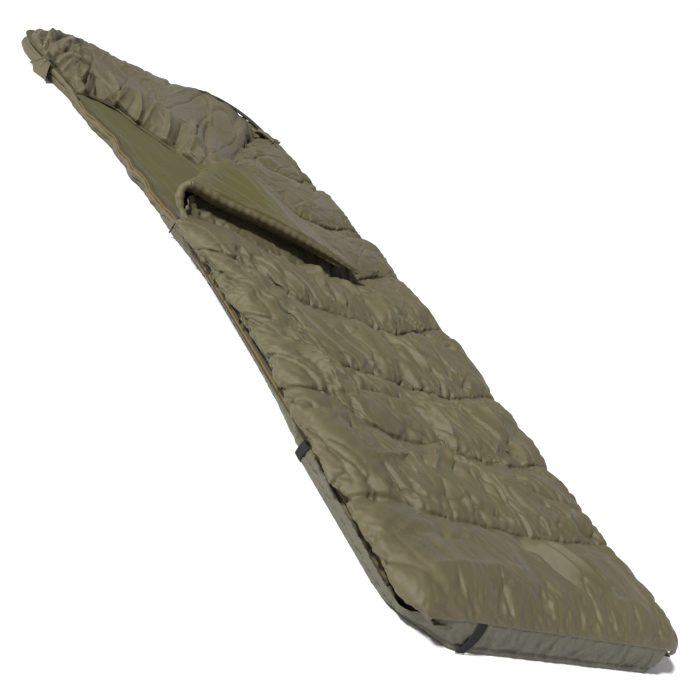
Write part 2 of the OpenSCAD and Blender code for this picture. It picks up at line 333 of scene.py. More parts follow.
def make_piece(name, grid, finish, around=False, capped=False, uv=None):
    """A mesh object from a grid of points, with cloth coordinates in metres as its UVs.

    capped closes both ends of a tube with a fan round each end ring's centre."""
    rows, columns = grid.shape[:2]
    points = grid.reshape(-1, 3)
    quads = grid_faces(rows, columns, around)
    faces = [quads.tolist()]
    if uv is None:
        step_u = np.linalg.norm(np.diff(grid, axis=1), axis=-1).mean(0)
        step_v = np.linalg.norm(np.diff(grid, axis=0), axis=-1).mean(1)
        u = np.concatenate([[0], np.cumsum(step_u)])
        v = np.concatenate([[0], np.cumsum(step_v)])
        uv = np.stack(np.broadcast_arrays(u[None, :], v[:, None]), -1)
    flat_uv = uv.reshape(-1, 2)
    if capped:
        total = len(points)
        points = np.concatenate([points, grid[0].mean(0)[None], grid[-1].mean(0)[None]])
        flat_uv = np.concatenate([flat_uv, flat_uv[:1], flat_uv[-1:]])
        c = np.arange(columns)
        n = (c + 1) % columns
        last = (rows - 1) * columns
        faces.append(np.stack([n, c, np.full(columns, total)], -1).tolist())
        faces.append(np.stack([last + c, last + n, np.full(columns, total + 1)], -1).tolist())
    mesh = bpy.data.meshes.new(name)
    mesh.from_pydata(points.tolist(), [], [f for group in faces for f in group])
    mesh.update()
    add_cloth_uv(mesh, flat_uv)
    mesh.polygons.foreach_set("use_smooth", np.ones(len(mesh.polygons), bool))
    mesh.materials.append(finish)
    piece = bpy.data.objects.new(name, mesh)
    bpy.context.scene.collection.objects.link(piece)
    return piece


def belongs(piece, body, slot, *replaced):
    """Puts a piece on the body it rides on and hides the frame's solids that it replaces. Its slot
    is not used.
    """
    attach(piece, body)
    if replaced:
        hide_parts(*replaced)
    return piece


def thicken(piece, thickness):
    """Gives a cloth its thickness, inward from its face."""
    solid = piece.modifiers.new("thickness", "SOLIDIFY")
    solid.thickness = thickness
    solid.offset = -1
    solid.use_quality_normals = True


def frames_along(path):
    """Tangent, sideways and upward unit vectors at each point of a path that isn't upright."""
    tangent = np.gradient(path, axis=0)
    tangent /= np.linalg.norm(tangent, axis=1, keepdims=True)
    side = np.cross(tangent, [0, 0, 1.0])
    side /= np.maximum(np.linalg.norm(side, axis=1, keepdims=True), 1e-9)
    return tangent, side, np.cross(side, tangent)


def tube(path, radius, sides=12, flat=1.0):
    """Rings of a tube along path. radius is one number or one for each point; flat squeezes
    the rings upward. Point k of a ring is centre + r (cos a side + flat sin a up)."""
    _, side, up = frames_along(path)
    r = np.broadcast_to(np.asarray(radius, float), (len(path),))[:, None, None]
    a = -np.linspace(0, 2 * np.pi, sides, endpoint=False)[None, :, None]
    return path[:, None] + r * (np.cos(a) * side[:, None] + flat * np.sin(a) * up[:, None])


def ribbon(path, across, width, thick):
    """Closed rings of a flat strip: a rounded oblong section, width along across."""
    tangent, _, _ = frames_along(path)
    across = np.broadcast_to(np.asarray(across, float), path.shape)
    across = across - (across * tangent).sum(1, keepdims=True) * tangent
    across = across / np.linalg.norm(across, axis=1, keepdims=True)
    out = np.cross(tangent, across)
    w, t = width / 2, thick / 2
    face = [(-w, -0.4 * t), (-0.97 * w, -t), (-0.5 * w, -t), (0, -t), (0.5 * w, -t),
            (0.97 * w, -t), (w, -0.4 * t)]
    section = np.array(face + [(-x, -y) for x, y in face])
    return (path[:, None] + section[None, :, :1] * across[:, None]
            + section[None, :, 1:] * out[:, None])


def strip_uv(length_points, width, length):
    """Cloth coordinates of a ribbon: across its width on both faces, and along it."""
    u = np.concatenate([np.linspace(0, width, 7), np.linspace(width, 0, 7)])
    v = np.linspace(0, length, length_points)
    return np.stack(np.broadcast_arrays(u[None, :], v[:, None]), -1)


def make_strip(name, path, across, width, thick, finish, length):
    """A ribbon of cloth or webbing, whose threads are laid out over length."""
    return make_piece(name, ribbon(path, across, width, thick), finish, around=True,
                      capped=True, uv=strip_uv(len(path), width, length))


def make_tube(name, path, radius, finish, body, slot, replaced=(), sides=12, flat=1.0):
    """A closed tube that rides on a body."""
    piece = make_piece(name, tube(path, radius, sides, flat), finish, around=True, capped=True)
    return belongs(piece, body, slot, *replaced)


CLOTH = {"quality": 5, "mass": 0.15, "tension_stiffness": 15, "compression_stiffness": 15,
         "shear_stiffness": 5, "bending_stiffness": 0.08, "air_damping": 2,
         "vertex_group_mass": "held", "use_pressure": True}
CLOTH_FRAMES = 20
SLACK = 0.030
TOP_PUFF = {"pressure": 1.6, "cap": 0.012}
HOOD_PUFF = {"pressure": 0.9, "cap": 0.003}


def puffed(grid, held, pressure, cap):
    """A sewn cloth blown up by its filling: Cloth with pressure on the grid's mesh, its held
    points pinned and its threads SLACK longer than drawn. No point ends further than cap
    from where it began."""
    scene = bpy.context.scene
    piece = make_piece("being_sewn", grid, None)
    group = piece.vertex_groups.new(name="held")
    group.add(np.nonzero(held.ravel())[0].tolist(), 1.0, "REPLACE")
    cloth = piece.modifiers.new("cloth", "CLOTH")
    for setting, value in CLOTH.items():
        setattr(cloth.settings, setting, value)
    cloth.settings.shrink_min = -SLACK
    cloth.settings.uniform_pressure_force = pressure
    cloth.settings.effector_weights.gravity = 0
    cloth.collision_settings.use_collision = False
    cloth.point_cache.frame_start = 1
    cloth.point_cache.frame_end = CLOTH_FRAMES
    for number in range(1, CLOTH_FRAMES + 1):
        scene.frame_set(number)
    moved = np.empty(grid.size, np.float32)
    result = piece.evaluated_get(bpy.context.evaluated_depsgraph_get()).data
    result.vertices.foreach_get("co", moved)
    bpy.data.objects.remove(piece)
    scene.frame_set(1)
    shift = moved.reshape(grid.shape).astype(float) - grid
    far = np.linalg.norm(shift, axis=-1, keepdims=True)
    return grid + shift * np.minimum(1, cap / np.maximum(far, 1e-9))


# ---- shaders


class Socket:
    """A number in a shader: arithmetic on it adds Math nodes."""

    def __init__(self, shader, output):
        self.shader = shader
        self.output = output

    def math(self, operation, *values):
        """A Math node's result."""
        return self.shader.node("ShaderNodeMath", {"operation": operation},
                                dict(enumerate(values)))

    def __add__(self, other):
        return self.math("ADD", self, other)

    def __sub__(self, other):
        return self.math("SUBTRACT", self, other)

    def __mul__(self, other):
        return self.math("MULTIPLY", self, other)

    def __truediv__(self, other):
        return self.math("DIVIDE", self, other)

    def __rsub__(self, other):
        return self.math("SUBTRACT", other, self)

    __radd__ = __add__
    __rmul__ = __mul__

    def wave(self, pitch):
        """A sine of that pitch, from -1 to 1."""
        return self.math("SINE", self * (2 * math.pi / pitch))


class Shader:
    """A material being built round one Principled shader."""

    def __init__(self, name):
        self.material = bpy.data.materials.new(name)
        self.material.use_nodes = True
        self.tree = self.material.node_tree
        self.main = self.tree.nodes["Principled BSDF"]

    def node(self, kind, settings=None, inputs=None, output=0):
        """Adds a node: its settings first, then a value or a link for each input."""
        made = self.tree.nodes.new(kind)
        for key, value in (settings or {}).items():
            setattr(made, key, value)
        for key, value in (inputs or {}).items():
            self.put(made.inputs[key], value)
        return Socket(self, made.outputs[output])

    def put(self, socket, value):
        """Links a Socket to an input, or sets its value."""
        if isinstance(value, Socket):
            self.tree.links.new(value.output, socket)
        else:
            socket.default_value = value

    def set(self, **values):
        """Sets inputs of the Principled shader, with _ for each space in their names."""
        for key, value in values.items():
            self.put(self.main.inputs[key.replace("_", " ")], value)

    def place(self):
        """The point in the frame."""
        return self.node("ShaderNodeTexCoord", output="Object")

    def cloth_place(self):
        """The point's place along the threads, in metres."""
        return self.node("ShaderNodeUVMap", {"uv_map": "cloth"})

    def part(self, vector, axis):
        """One of a vector's three numbers."""
        return self.node("ShaderNodeSeparateXYZ", None, {0: vector}, axis)

    def noise(self, vector, scale, detail=3.0, rough=0.5, stretch=None):
        """Noise from 0 to 1, with its vector multiplied by stretch first."""
        if stretch is not None:
            vector = self.node("ShaderNodeVectorMath", {"operation": "MULTIPLY"},
                               {0: vector, 1: stretch})
        return self.node("ShaderNodeTexNoise", None,
                         {"Vector": vector, "Scale": scale, "Detail": detail,
                          "Roughness": rough})

    def mixed(self, share, first, second):
        """A colour between two colours."""
        made = self.tree.nodes.new("ShaderNodeMix")
        made.data_type = "RGBA"
        for index, value in ((0, share), (6, first), (7, second)):
            if not isinstance(value, Socket) and index:
                value = (*value, 1) if len(value) == 3 else value
            self.put(made.inputs[index], value)
        return Socket(self, made.outputs[2])

    def raised(self, height, distance, strength=1.0):
        """A bumped normal from a height from 0 to 1 that stands for distance metres."""
        return self.node("ShaderNodeBump", None,
                         {"Height": height, "Distance": distance, "Strength": strength})


def woven(shader, thread):
    """Height of a plain weave: over and under, as the product of two sines, and 0 to 1."""
    place = shader.cloth_place()
    warp = shader.part(place, 0).wave(2 * thread)
    weft = shader.part(place, 1).wave(2 * thread)
    return warp * weft * 0.5 + 0.5


def cloth_finish(name, dark, light, rough, thread, crumple, sheen, worn):
    """A woven cloth: colour that drifts between two tones in broad patches and fine slubs,
    paler where it is rubbed, with a weave and a dry crumple standing up from it."""
    s = Shader(name)
    place = s.place()
    broad = s.noise(place, 5.0, 4.0, 0.6)
    slub = s.noise(place, 90.0, 2.0, 0.5, (1.0, 0.12, 1.0))
    fine = s.noise(place, 38.0, 5.0, 0.62)
    share = broad * 0.75 + slub * 0.2 + fine * 0.35 - 0.15
    tone = s.mixed(share, dark, light)
    rubbed = s.node("ShaderNodeMapRange", None,
                    {0: s.noise(place, 11.0, 6.0, 0.7), 1: 0.58, 2: 0.78, 3: 0.0, 4: worn})
    pale = tuple(min(1.0, c * 1.45 + 0.02) for c in light)
    weave = woven(s, thread)
    height = weave * (thread * 0.30 / crumple) + fine * 0.7 + s.noise(place, 95.0, 4.0) * 0.3
    s.set(Base_Color=s.mixed(rubbed, tone, pale), Roughness=rough + fine * 0.16 - 0.08,
          Normal=s.raised(height, crumple), Sheen_Weight=sheen, Sheen_Roughness=0.45,
          Specular_IOR_Level=0.30)
    return s.material


def webbing_finish(name, dark, light, rib):
    """Ribbed webbing: ribs across its length, each a sine wide, with fine fibres."""
    s = Shader(name)
    place = s.cloth_place()
    ribs = s.part(place, 1).wave(rib) * 0.5 + 0.5
    lanes = s.part(place, 0).wave(rib * 1.3) * 0.5 + 0.5
    fibre = s.noise(s.place(), 400.0, 3.0)
    s.set(Base_Color=s.mixed(ribs * 0.5 + fibre * 0.5, dark, light),
          Roughness=0.72 + fibre * 0.2,
          Normal=s.raised(ribs * 0.6 + lanes * 0.3 + fibre * 0.1, 0.0006),
          Specular_IOR_Level=0.12)
    return s.material


def moulded_finish(name, tone, rough, grain=0.00012, metal=0.0):
    """A hard finish: fine grain, soft marks in the gloss, and colour that drifts a little."""
    s = Shader(name)
    place = s.place()
    marks = s.noise(place, 60.0, 4.0, 0.6)
    pits = s.noise(place, 900.0, 2.0)
    light = tuple(min(1.0, c * 1.5 + 0.01) for c in tone)
    s.set(Base_Color=s.mixed(marks * 0.6, tone, light), Metallic=metal,
          Roughness=rough + marks * 0.2 - 0.1, Normal=s.raised(pits, grain))
    return s.material


def tape_finish(name, ground, stripe, edge, rib=0.0011, twill_pitch=0.0016,
                stripe_at=0.0065, stripe_half=0.0016):
    """Zip tape: twill ribs along it, and one paler woven stripe beside its sewn edge."""
    s = Shader(name)
    place = s.cloth_place()
    lane = s.part(place, 0)
    ribs = lane.wave(rib) * 0.5 + 0.5
    twill = (lane + s.part(place, 1)).wave(twill_pitch) * 0.5 + 0.5
    fibre = s.noise(s.place(), 300.0, 3.0)
    tone = s.mixed(ribs * 0.4 + fibre * 0.4, ground, edge)
    off = lane.math("ABSOLUTE", lane - stripe_at)
    band = lane.math("MAXIMUM", 1 - off / stripe_half, 0.0)
    s.set(Base_Color=s.mixed(band, tone, stripe), Roughness=0.8, Specular_IOR_Level=0.15,
          Normal=s.raised(twill * 0.6 + fibre * 0.4, 0.0003))
    return s.material


SHELL = cloth_finish("olive_taffeta", (0.064, 0.054, 0.026), (0.098, 0.083, 0.042), 0.47,
                     0.0009, 0.0016, 0.04, 0.30)
LINING = cloth_finish("green_brushed_lining", (0.055, 0.048, 0.010), (0.076, 0.067, 0.0155),
                      0.85, 0.0012, 0.0009, 0.08, 0.18)
BAND = cloth_finish("grey_olive_oxford", (0.076, 0.069, 0.047), (0.102, 0.094, 0.067), 0.66,
                    0.0014, 0.0012, 0.06, 0.25)
# the near-black cloth of the tube along the right side of the head's edge
DARK_EDGE_CLOTH = cloth_finish("near_black_edge_cloth", (0.018, 0.016, 0.009), (0.030, 0.027, 0.016),
                       0.7, 0.0007, 0.0005, 0.05, 0.2)
TAPE = tape_finish("zip_tape_twill", (0.042, 0.033, 0.014), (0.150, 0.102, 0.042),
                   (0.070, 0.054, 0.024))
COIL = moulded_finish("zip_coil_nylon", (0.020, 0.018, 0.013), 0.38)
WEBBING = webbing_finish("black_webbing", (0.010, 0.010, 0.010), (0.026, 0.026, 0.026), 0.0022)
SLIDER = moulded_finish("black_lacquered_zinc", (0.022, 0.022, 0.020), 0.36, metal=0.6)
BARE = moulded_finish("nickel_plate", (0.42, 0.41, 0.38), 0.30, metal=1.0)
PULL_CORD = webbing_finish("black_braid", (0.010, 0.010, 0.010), (0.024, 0.024, 0.024), 0.0016)
TOGGLE_CORD = webbing_finish("pale_braid", (0.30, 0.29, 0.25), (0.44, 0.43, 0.38), 0.0012)
PLASTIC = moulded_finish("black_moulding", (0.012, 0.012, 0.012), 0.42)
HOOKS = webbing_finish("hook_tape", (0.030, 0.027, 0.016), (0.058, 0.051, 0.032), 0.0009)

# ---- stage and light


FLOOR_RADII = [0.01, 2, 6, 20, FAR]
SKY_RAMP = (0.06, 0.50, 1.0, 0.26)      # from, to: height; from, to: strength


def make_stage():
    """A wide, level, white floor: a disc."""
    t = np.linspace(0, 2 * np.pi, 96, endpoint=False)
    radius = np.array(FLOOR_RADII)[:, None]
    grid = np.stack([radius * np.cos(t), radius * np.sin(t), radius * t * 0], -1)
    s = Shader("white_floor")
    s.set(Base_Color=(0.88, 0.88, 0.87, 1), Roughness=0.9, Specular_IOR_Level=0.1)
    make_piece("floor", grid[::-1], s.material, around=True)


def make_sun(name, place, strength, spread):
    """A far light from the side of place, spread degrees wide."""
    data = bpy.data.lights.new(name, "SUN")
    data.energy = strength
    data.angle = math.radians(spread)
    light = bpy.data.objects.new(name, data)
    light.rotation_euler = Vector(place).to_track_quat("Z", "Y").to_euler()
    bpy.context.scene.collection.objects.link(light)


def make_world():
    """A sky that is white at the horizon and dimmer overhead."""
    world = bpy.data.worlds.new("soft_sky")
    world.use_nodes = True
    tree = world.node_tree
    place = tree.nodes.new("ShaderNodeTexCoord")
    part = tree.nodes.new("ShaderNodeSeparateXYZ")
    ramp_node = tree.nodes.new("ShaderNodeMapRange")
    tree.links.new(place.outputs["Generated"], part.inputs[0])
    tree.links.new(part.outputs[2], ramp_node.inputs[0])
    for index, value in enumerate(SKY_RAMP):
        ramp_node.inputs[index + 1].default_value = value
    sky = tree.nodes["Background"]
    sky.inputs[0].default_value = (1, 1, 1, 1)
    tree.links.new(ramp_node.outputs[0], sky.inputs[1])
    bpy.context.scene.world = world
    bpy.context.scene.view_settings.view_transform = "Standard"


make_stage()
make_world()
make_sun("key", (-1.0, -0.12, 0.80), 5.7, 6)

# ---- the quilted top

TOP_END_Y = 0.930
# shift of each seam from its straight line: how far its middle dips to the foot, and how
# far its left and right ends rise to the head
SEAM_BEND = [(0.0, 0.0, 0.0), (0.020, 0.024, 0.035), (0.036, 0.100, 0.055),
             (0.060, 0.110, 0.090), (0.070, 0.100, 0.135), (0.062, 0.080, 0.095),
             (0.070, 0.050, 0.100), (0.050, 0.020, 0.070), (0.0, 0.0, 0.0)]
SEAM_Y = np.array([FOOT_Y] + [FIRST_SEAM_Y + PITCH_Y * k for k in range(CHANNELS - 1)]
                  + [TOP_END_Y])
SEAM_Z = 0.1015
TOP_ROWS = 26
FOOT_ROWS = 8
TOP_PIECES = 4
EDGE_COLUMNS = 18
MIDDLE_COLUMNS = 66
EDGE_SHARE = 0.085
SHOULDER = 0.070
FOOT_ROUND = 0.080
RIGHT_BELLY_Z = 0.076
TURNS = (-75, 90)
FOOT_CORNER_LEFT = 0.075
FOOT_CORNER_RIGHT = 0.035
FOOT_DRAW = FOOT_EDGE - FOOT_Y

# how far the quilt hangs out past the zips, as (place along the bag, overhang)
LEFT_HANG = np.array([[-1.12, 0.034], [-1.085, 0.052], [-1.035, 0.054], [-0.965, 0.054],
                      [-0.92, 0.056], [-0.75, 0.062], [-0.66, 0.058], [-0.60, 0.050],
                      [-0.53, 0.042], [-0.40, 0.027], [-0.18, 0.022], [-0.10, 0.030],
                      [-0.03, 0.042], [0.05, 0.052], [0.10, 0.044], [0.135, 0.014],
                      [0.17, 0.0]])
RIGHT_HANG = np.array([[-1.08, 0.006], [-0.94, 0.000], [-0.75, 0.004], [-0.60, 0.008],
                       [-0.42, 0.014], [-0.30, 0.032], [-0.20, 0.042], [-0.10, 0.030],
                       [0.05, 0.014], [0.25, 0.006], [0.45, 0.006], [0.65, 0.010],
                       [0.80, 0.018], [0.95, 0.026]])

# where the cloth beside the neck and the fold starts, from the slider to the neck's end
INNER_EDGE = np.array([[LEFT_X, LEFT_SLIDER_Y], FOLD_A, FOLD_B, *NECK])


def top_left(y):
    """The quilt's left edge: the zip, then the fold line, then the neck line."""
    along = np.interp(y, INNER_EDGE[:, 1], INNER_EDGE[:, 0])
    cut = LEFT_X + 0.3 * rounded(FOOT_Y + FOOT_CORNER_LEFT - y, FOOT_CORNER_LEFT)
    return np.where(y < LEFT_SLIDER_Y, cut, along)


def top_right(y):
    """The quilt's right edge, with its foot corner hardly rounded."""
    return right_edge(y) - rounded(FOOT_Y + FOOT_CORNER_RIGHT - y, FOOT_CORNER_RIGHT)


def seam_shift(s, k):
    """How far seam k lies from its straight line at the share s across the bag."""
    dip, left, right = SEAM_BEND[k]
    return (-dip * ramp(0, 0.12, s) + left * (1 - ramp(0.0, 0.24, s))
            + right * ramp(0.60, 1.02, s))


def channel_heights(t):
    """A channel's section: 0 at its two seams, steep there, and flat on top."""
    return 1 - np.abs(2 * t - 1) ** 5


def top_flat():
    """(share across, turn of the left and of the right shoulder, share between them,
    channel number, share along the channel) of the top's columns and rows. The rows are
    closer together at the foot."""
    turn = np.linspace(*TURNS, EDGE_COLUMNS)
    m = np.linspace(0, 1, MIDDLE_COLUMNS + 2)[1:-1]
    edge = EDGE_SHARE * np.linspace(0, 1, EDGE_COLUMNS)
    s = np.concatenate([edge, EDGE_SHARE + (1 - 2 * EDGE_SHARE) * m, 1 - edge[::-1]])
    level = np.full(EDGE_COLUMNS + MIDDLE_COLUMNS, 90.0)
    left = np.radians(np.concatenate([turn, level]))
    m = np.concatenate([np.zeros(EDGE_COLUMNS), m, np.ones(EDGE_COLUMNS)])
    t = np.linspace(0, 1, TOP_ROWS + 1)
    end = t[FOOT_ROWS]
    near_foot = (1 - np.cos(0.5 * np.pi * t[:FOOT_ROWS + 1] / end)) * end
    first = np.concatenate([near_foot, t[FOOT_ROWS + 1:]])
    pairs = [(k, x) for k in range(CHANNELS) for x in (first if k == 0 else t)[:-1]]
    pairs.append((CHANNELS - 1, 1.0))
    k, share = (np.array(c) for c in zip(*pairs))
    return s, left, left[::-1], m, k.astype(int)[:, None], share[:, None]


HOLLOW = np.array([[-0.250, 0.165], [0.190, 0.070]])
HOLLOW_DEPTH = 0.040
HOLLOW_WIDTH = 0.070


def hollow(x, y):
    """How far the top lies lower in front of the folded corner: a bell across the line from
    the slider to the corner's tip."""
    a, b = HOLLOW
    d = b - a
    t = np.clip(((x - a[0]) * d[0] + (y - a[1]) * d[1]) / (d @ d), 0, 1)
    off = np.hypot(x - a[0] - t * d[0], y - a[1] - t * d[1])
    return HOLLOW_DEPTH * np.exp(-(off / HOLLOW_WIDTH) ** 2)


def shoulder(turn, hang, wide, middle, low, crown):
    """(way in from the edge, height) of a shoulder: a quarter oval above its widest place,
    where turn is 0, and a smaller one that curls back to the edge below it."""
    way = np.where(turn < 0, -hang + hang * (1 - np.cos(turn)),
                   -hang + (wide + hang) * (1 - np.cos(turn)))
    return way, np.where(turn < 0, middle + (middle - low) * np.sin(turn),
                         middle + (crown - middle) * np.sin(turn))


def top_grid():
    """The top before it is filled: (points, share across, share along the channel, channel
    number). Its sides overhang as round shoulders, and its foot end is a quarter oval."""
    s, turn_l, turn_r, m, k, t = top_flat()
    y_even = SEAM_Y[k] * (1 - t) + SEAM_Y[k + 1] * t
    shifts = np.stack([seam_shift(s, i) for i in range(CHANNELS + 1)])
    shift = shifts[k[:, 0]] * (1 - t) + shifts[k[:, 0] + 1] * t
    open_edge = ramp(0.02, 0.16, y_even)
    shift = shift * (1 - open_edge * (1 - ramp(0.0, 0.25, s)))
    y = y_even + shift
    s, t = np.broadcast_arrays(s[None, :], t)
    rise = channel_heights(t)
    folded = ramp(LEFT_SLIDER_Y - 0.02, LEFT_SLIDER_Y + 0.05, y)
    hang_l = np.interp(y, *LEFT_HANG.T) * (0.62 + 0.38 * rise)
    hang_r = np.interp(y, *RIGHT_HANG.T) * (0.55 + 0.45 * rise)
    hang_l = hang_l + 0.004 * Noise(6)(y / 0.05, 0.3) * (1 - folded)
    hang_r = hang_r + 0.006 * Noise(7)(y / 0.07, 0.3)
    wide = SHOULDER + 0.016 * Noise(5)(y / 0.09, 0.5)
    seam_z = SEAM_Z + 0.0045 * ramp(0.05, 0.2, y)
    crown = seam_z + (QUILT_HIGH - seam_z) * rise
    edge_l, edge_r = top_left(y), top_right(y)
    middle_x = edge_l + wide + (edge_r - edge_l - 2 * wide) * m
    crown = crown + 0.004 * Noise(3)(middle_x / 0.16, y / 0.22) - hollow(middle_x, y)
    mid_l = SLIDER_TOP + 0.009 + 0.036 * folded
    low_l = SLIDER_TOP + 0.0015 + 0.038 * folded
    in_l, z_l = shoulder(turn_l, hang_l, wide, mid_l, low_l, crown)
    in_r, z_r = shoulder(turn_r, hang_r, wide, RIGHT_BELLY_Z, SLIDER_TOP + 0.0015, crown)
    first, last = m == 0, m == 1
    x = np.where(first, edge_l + in_l, np.where(last, edge_r - in_r, middle_x))
    z = np.where(first, z_l, np.where(last, z_r, crown))
    foot = (y - FOOT_Y) / FOOT_ROUND
    low = BAND_TOP - 0.003
    z = low + (z - low) * (0.02 + 0.98 * bulge(foot)) * (z > low) + (z - low) * (z <= low)
    y = y + FOOT_DRAW * (1 - ramp(0, 1.6, foot))
    y = y - 0.007 * np.sin(np.pi * bulge(foot)) * (foot < 1)
    return np.stack([x, y, z], -1), s, t, k


def creases_of(values):
    """A function that draws creases listed as (start, end, width, height, bow)."""
    def draw(x, y):
        total = np.zeros_like(x)
        for start, end, width, height, bow in values:
            total += crease(x, y, start, end, width, height, bow)
        return total
    return draw


# the long creases of the top: those left by storage down its middle, the fan from the first
# seam to the right foot corner, and the folds that run out from under the folded corner
MAIN_CREASES = creases_of([
    ((-0.013, 0.075), (-0.013, -0.120), 0.009, -0.009, 0.0),
    ((0.020, 0.090), (0.006, -0.060), 0.010, 0.008, 0.0),
    ((0.087, -0.020), (0.037, -0.145), 0.006, -0.005, 0.004),
    ((0.090, 0.060), (0.120, -0.160), 0.011, 0.008, 0.01),
    ((0.135, 0.050), (0.165, -0.170), 0.012, -0.007, 0.01),
    ((0.175, 0.030), (0.200, -0.120), 0.010, 0.006, 0.01),
    ((-0.270, -0.060), (-0.160, -0.150), 0.010, -0.008, 0.0),
    ((-0.230, -0.020), (-0.100, -0.140), 0.008, 0.005, 0.01),
    ((-0.023, -0.180), (0.010, -0.400), 0.010, -0.009, -0.008),
    ((0.020, -0.180), (0.050, -0.410), 0.014, 0.006, 0.01),
    ((-0.060, -0.240), (0.000, -0.390), 0.007, 0.005, 0.0),
    ((0.015, -0.415), (0.060, -0.640), 0.011, -0.010, -0.006),
    ((0.060, -0.420), (0.085, -0.630), 0.012, 0.007, 0.004),
    ((-0.213, -0.510), (0.027, -0.495), 0.012, -0.008, 0.006),
    ((-0.250, -0.330), (-0.220, -0.560), 0.010, 0.008, 0.0),
    ((-0.205, -0.380), (-0.180, -0.560), 0.009, 0.006, 0.0),
    ((-0.290, -0.545), (-0.170, -0.550), 0.007, -0.006, 0.0),
    ((0.037, -0.645), (-0.010, -0.770), 0.009, -0.010, 0.0),
    ((0.060, -0.645), (0.110, -0.800), 0.009, 0.009, 0.0),
    ((0.085, -0.645), (0.170, -0.800), 0.010, -0.008, 0.008),
    ((0.000, -0.640), (-0.090, -0.760), 0.010, 0.008, 0.0),
    ((-0.073, -0.765), (0.060, -0.855), 0.009, -0.009, -0.012),
    ((0.207, -0.690), (0.440, -0.760), 0.010, -0.009, -0.012),
    ((0.237, -0.625), (0.467, -0.435), 0.022, -0.008, 0.0),
    ((0.447, -0.740), (0.400, -0.840), 0.008, -0.006, 0.008),
    ((-0.290, -0.780), (-0.190, -0.845), 0.009, -0.006, -0.012),
    ((-0.210, -0.770), (-0.140, -0.850), 0.010, -0.006, -0.014),
    ((-0.270, -0.750), (-0.120, -0.715), 0.008, 0.005, -0.008),
    ((0.080, -0.885), (0.170, -1.050), 0.009, -0.010, -0.012),
    ((0.105, -0.885), (0.210, -1.045), 0.008, 0.008, -0.014),
    ((0.130, -0.885), (0.235, -1.040), 0.009, -0.009, -0.014),
    ((0.160, -0.880), (0.270, -1.020), 0.009, 0.008, -0.014),
    ((0.195, -0.880), (0.300, -1.010), 0.008, -0.007, -0.012),
    ((0.385, -0.900), (0.395, -1.040), 0.008, -0.007, -0.012),
    ((-0.330, -1.050), (0.020, -1.015), 0.020, 0.005, 0.006),
    ((-0.310, -0.965), (-0.100, -0.955), 0.014, -0.004, 0.010),
    ((0.187, -0.195), (0.245, -0.350), 0.012, 0.006, 0.0),
    ((0.300, 0.330), (0.500, 0.440), 0.012, -0.006, 0.0),
    ((0.290, 0.560), (0.420, 0.690), 0.010, -0.006, 0.0),
])


# fine creases: seed, count, where their middles lie, angle, its spread, length, width, height
TOP_FIELDS = [
    (11, 40, (-0.28, 0.30, -1.00, 0.10), -62, 14, 0.26, 0.009, 0.0095),
    (15, 90, (-0.28, 0.30, -1.05, 0.10), -62, 14, 0.18, 0.0035, 0.0034),
    (12, 30, (0.05, 0.46, -0.95, 0.20), -66, 20, 0.22, 0.010, 0.0070),
    (16, 50, (0.05, 0.46, -1.05, 0.20), -70, 20, 0.15, 0.0035, 0.0030),
    (13, 60, (0.10, 0.44, 0.10, 0.90), 40, 24, 0.12, 0.0045, 0.0050),
    (14, 34, (-0.28, 0.45, -1.05, 0.60), 15, 30, 0.12, 0.006, 0.0042),
]
MAIN_GAIN = 1.9
FINE_GAIN = 1.35
PUCKER_START = 0.03
QUILT_WIDTH = 0.85


def side_puckers(x, y, inward, seed, cell, reach, angle):
    """Puckers beside one side edge, from how far inward of it a point is."""
    share = np.exp(-np.maximum(inward - PUCKER_START, 0) / reach) * ramp(0.0, 0.03, inward)
    return 0.0055 * share * (folds(x, y, seed, cell, 4.5, angle) - 0.5)


def top_creases(x, y, s, t):
    """Every crease and pucker of the top, as a height to push it out by."""
    from_left = s * QUILT_WIDTH
    from_right = (1 - s) * QUILT_WIDTH
    from_foot = y - FOOT_Y
    upper = ramp(0.0, 0.2, y)
    busy = 0.45 + 0.55 * ramp(-0.92, -0.82, y) * (1 - 0.55 * upper)
    busy = busy * (0.55 + 0.45 * np.clip(0.5 + Noise(30)(x / 0.13, y / 0.13), 0, 1))
    fine = np.zeros_like(x)
    for field in TOP_FIELDS:
        fine += crease_field(x, y, *field)
    fine += 0.0060 * (folds(x, y, 25, 0.090, 4.0, -57) - 0.5)
    fine -= 0.0095 * (1 - upper) * folds(x, y, 27, 0.110, 4.0, -60, 8)
    fine -= 0.0060 * (1 - upper) * folds(x, y, 28, 0.070, 3.4, -76, 8)
    fine -= 0.0040 * upper * folds(x, y, 29, 0.070, 2.8, 40, 8)
    total = MAIN_GAIN * MAIN_CREASES(x, y) + FINE_GAIN * busy * fine
    total += 0.0030 * Noise(31)(x / 0.05, y / 0.11)
    total += side_puckers(x, y, from_left, 21, 0.034, 0.045, 24)
    total += side_puckers(x, y, from_right, 22, 0.038, 0.050, 158)
    from_seam = np.minimum(t, 1 - t) * PITCH_Y
    total += 0.0028 * np.exp(-from_seam / 0.018) * (folds(x, y, 23, 0.024, 3.6, 90) - 0.5)
    total += 0.0040 * np.exp(-from_foot / 0.060) * (folds(x, y, 24, 0.010, 8.0, 90) - 0.5)
    stitched = np.exp(-(from_seam / 0.0035) ** 2)
    inside = np.minimum(np.minimum(from_left, from_right), 0.6 * (from_foot - FOOT_DRAW))
    return total * ramp(0.0, 0.014, inside) - 0.005 * stitched * ramp(0, 0.01, inside)


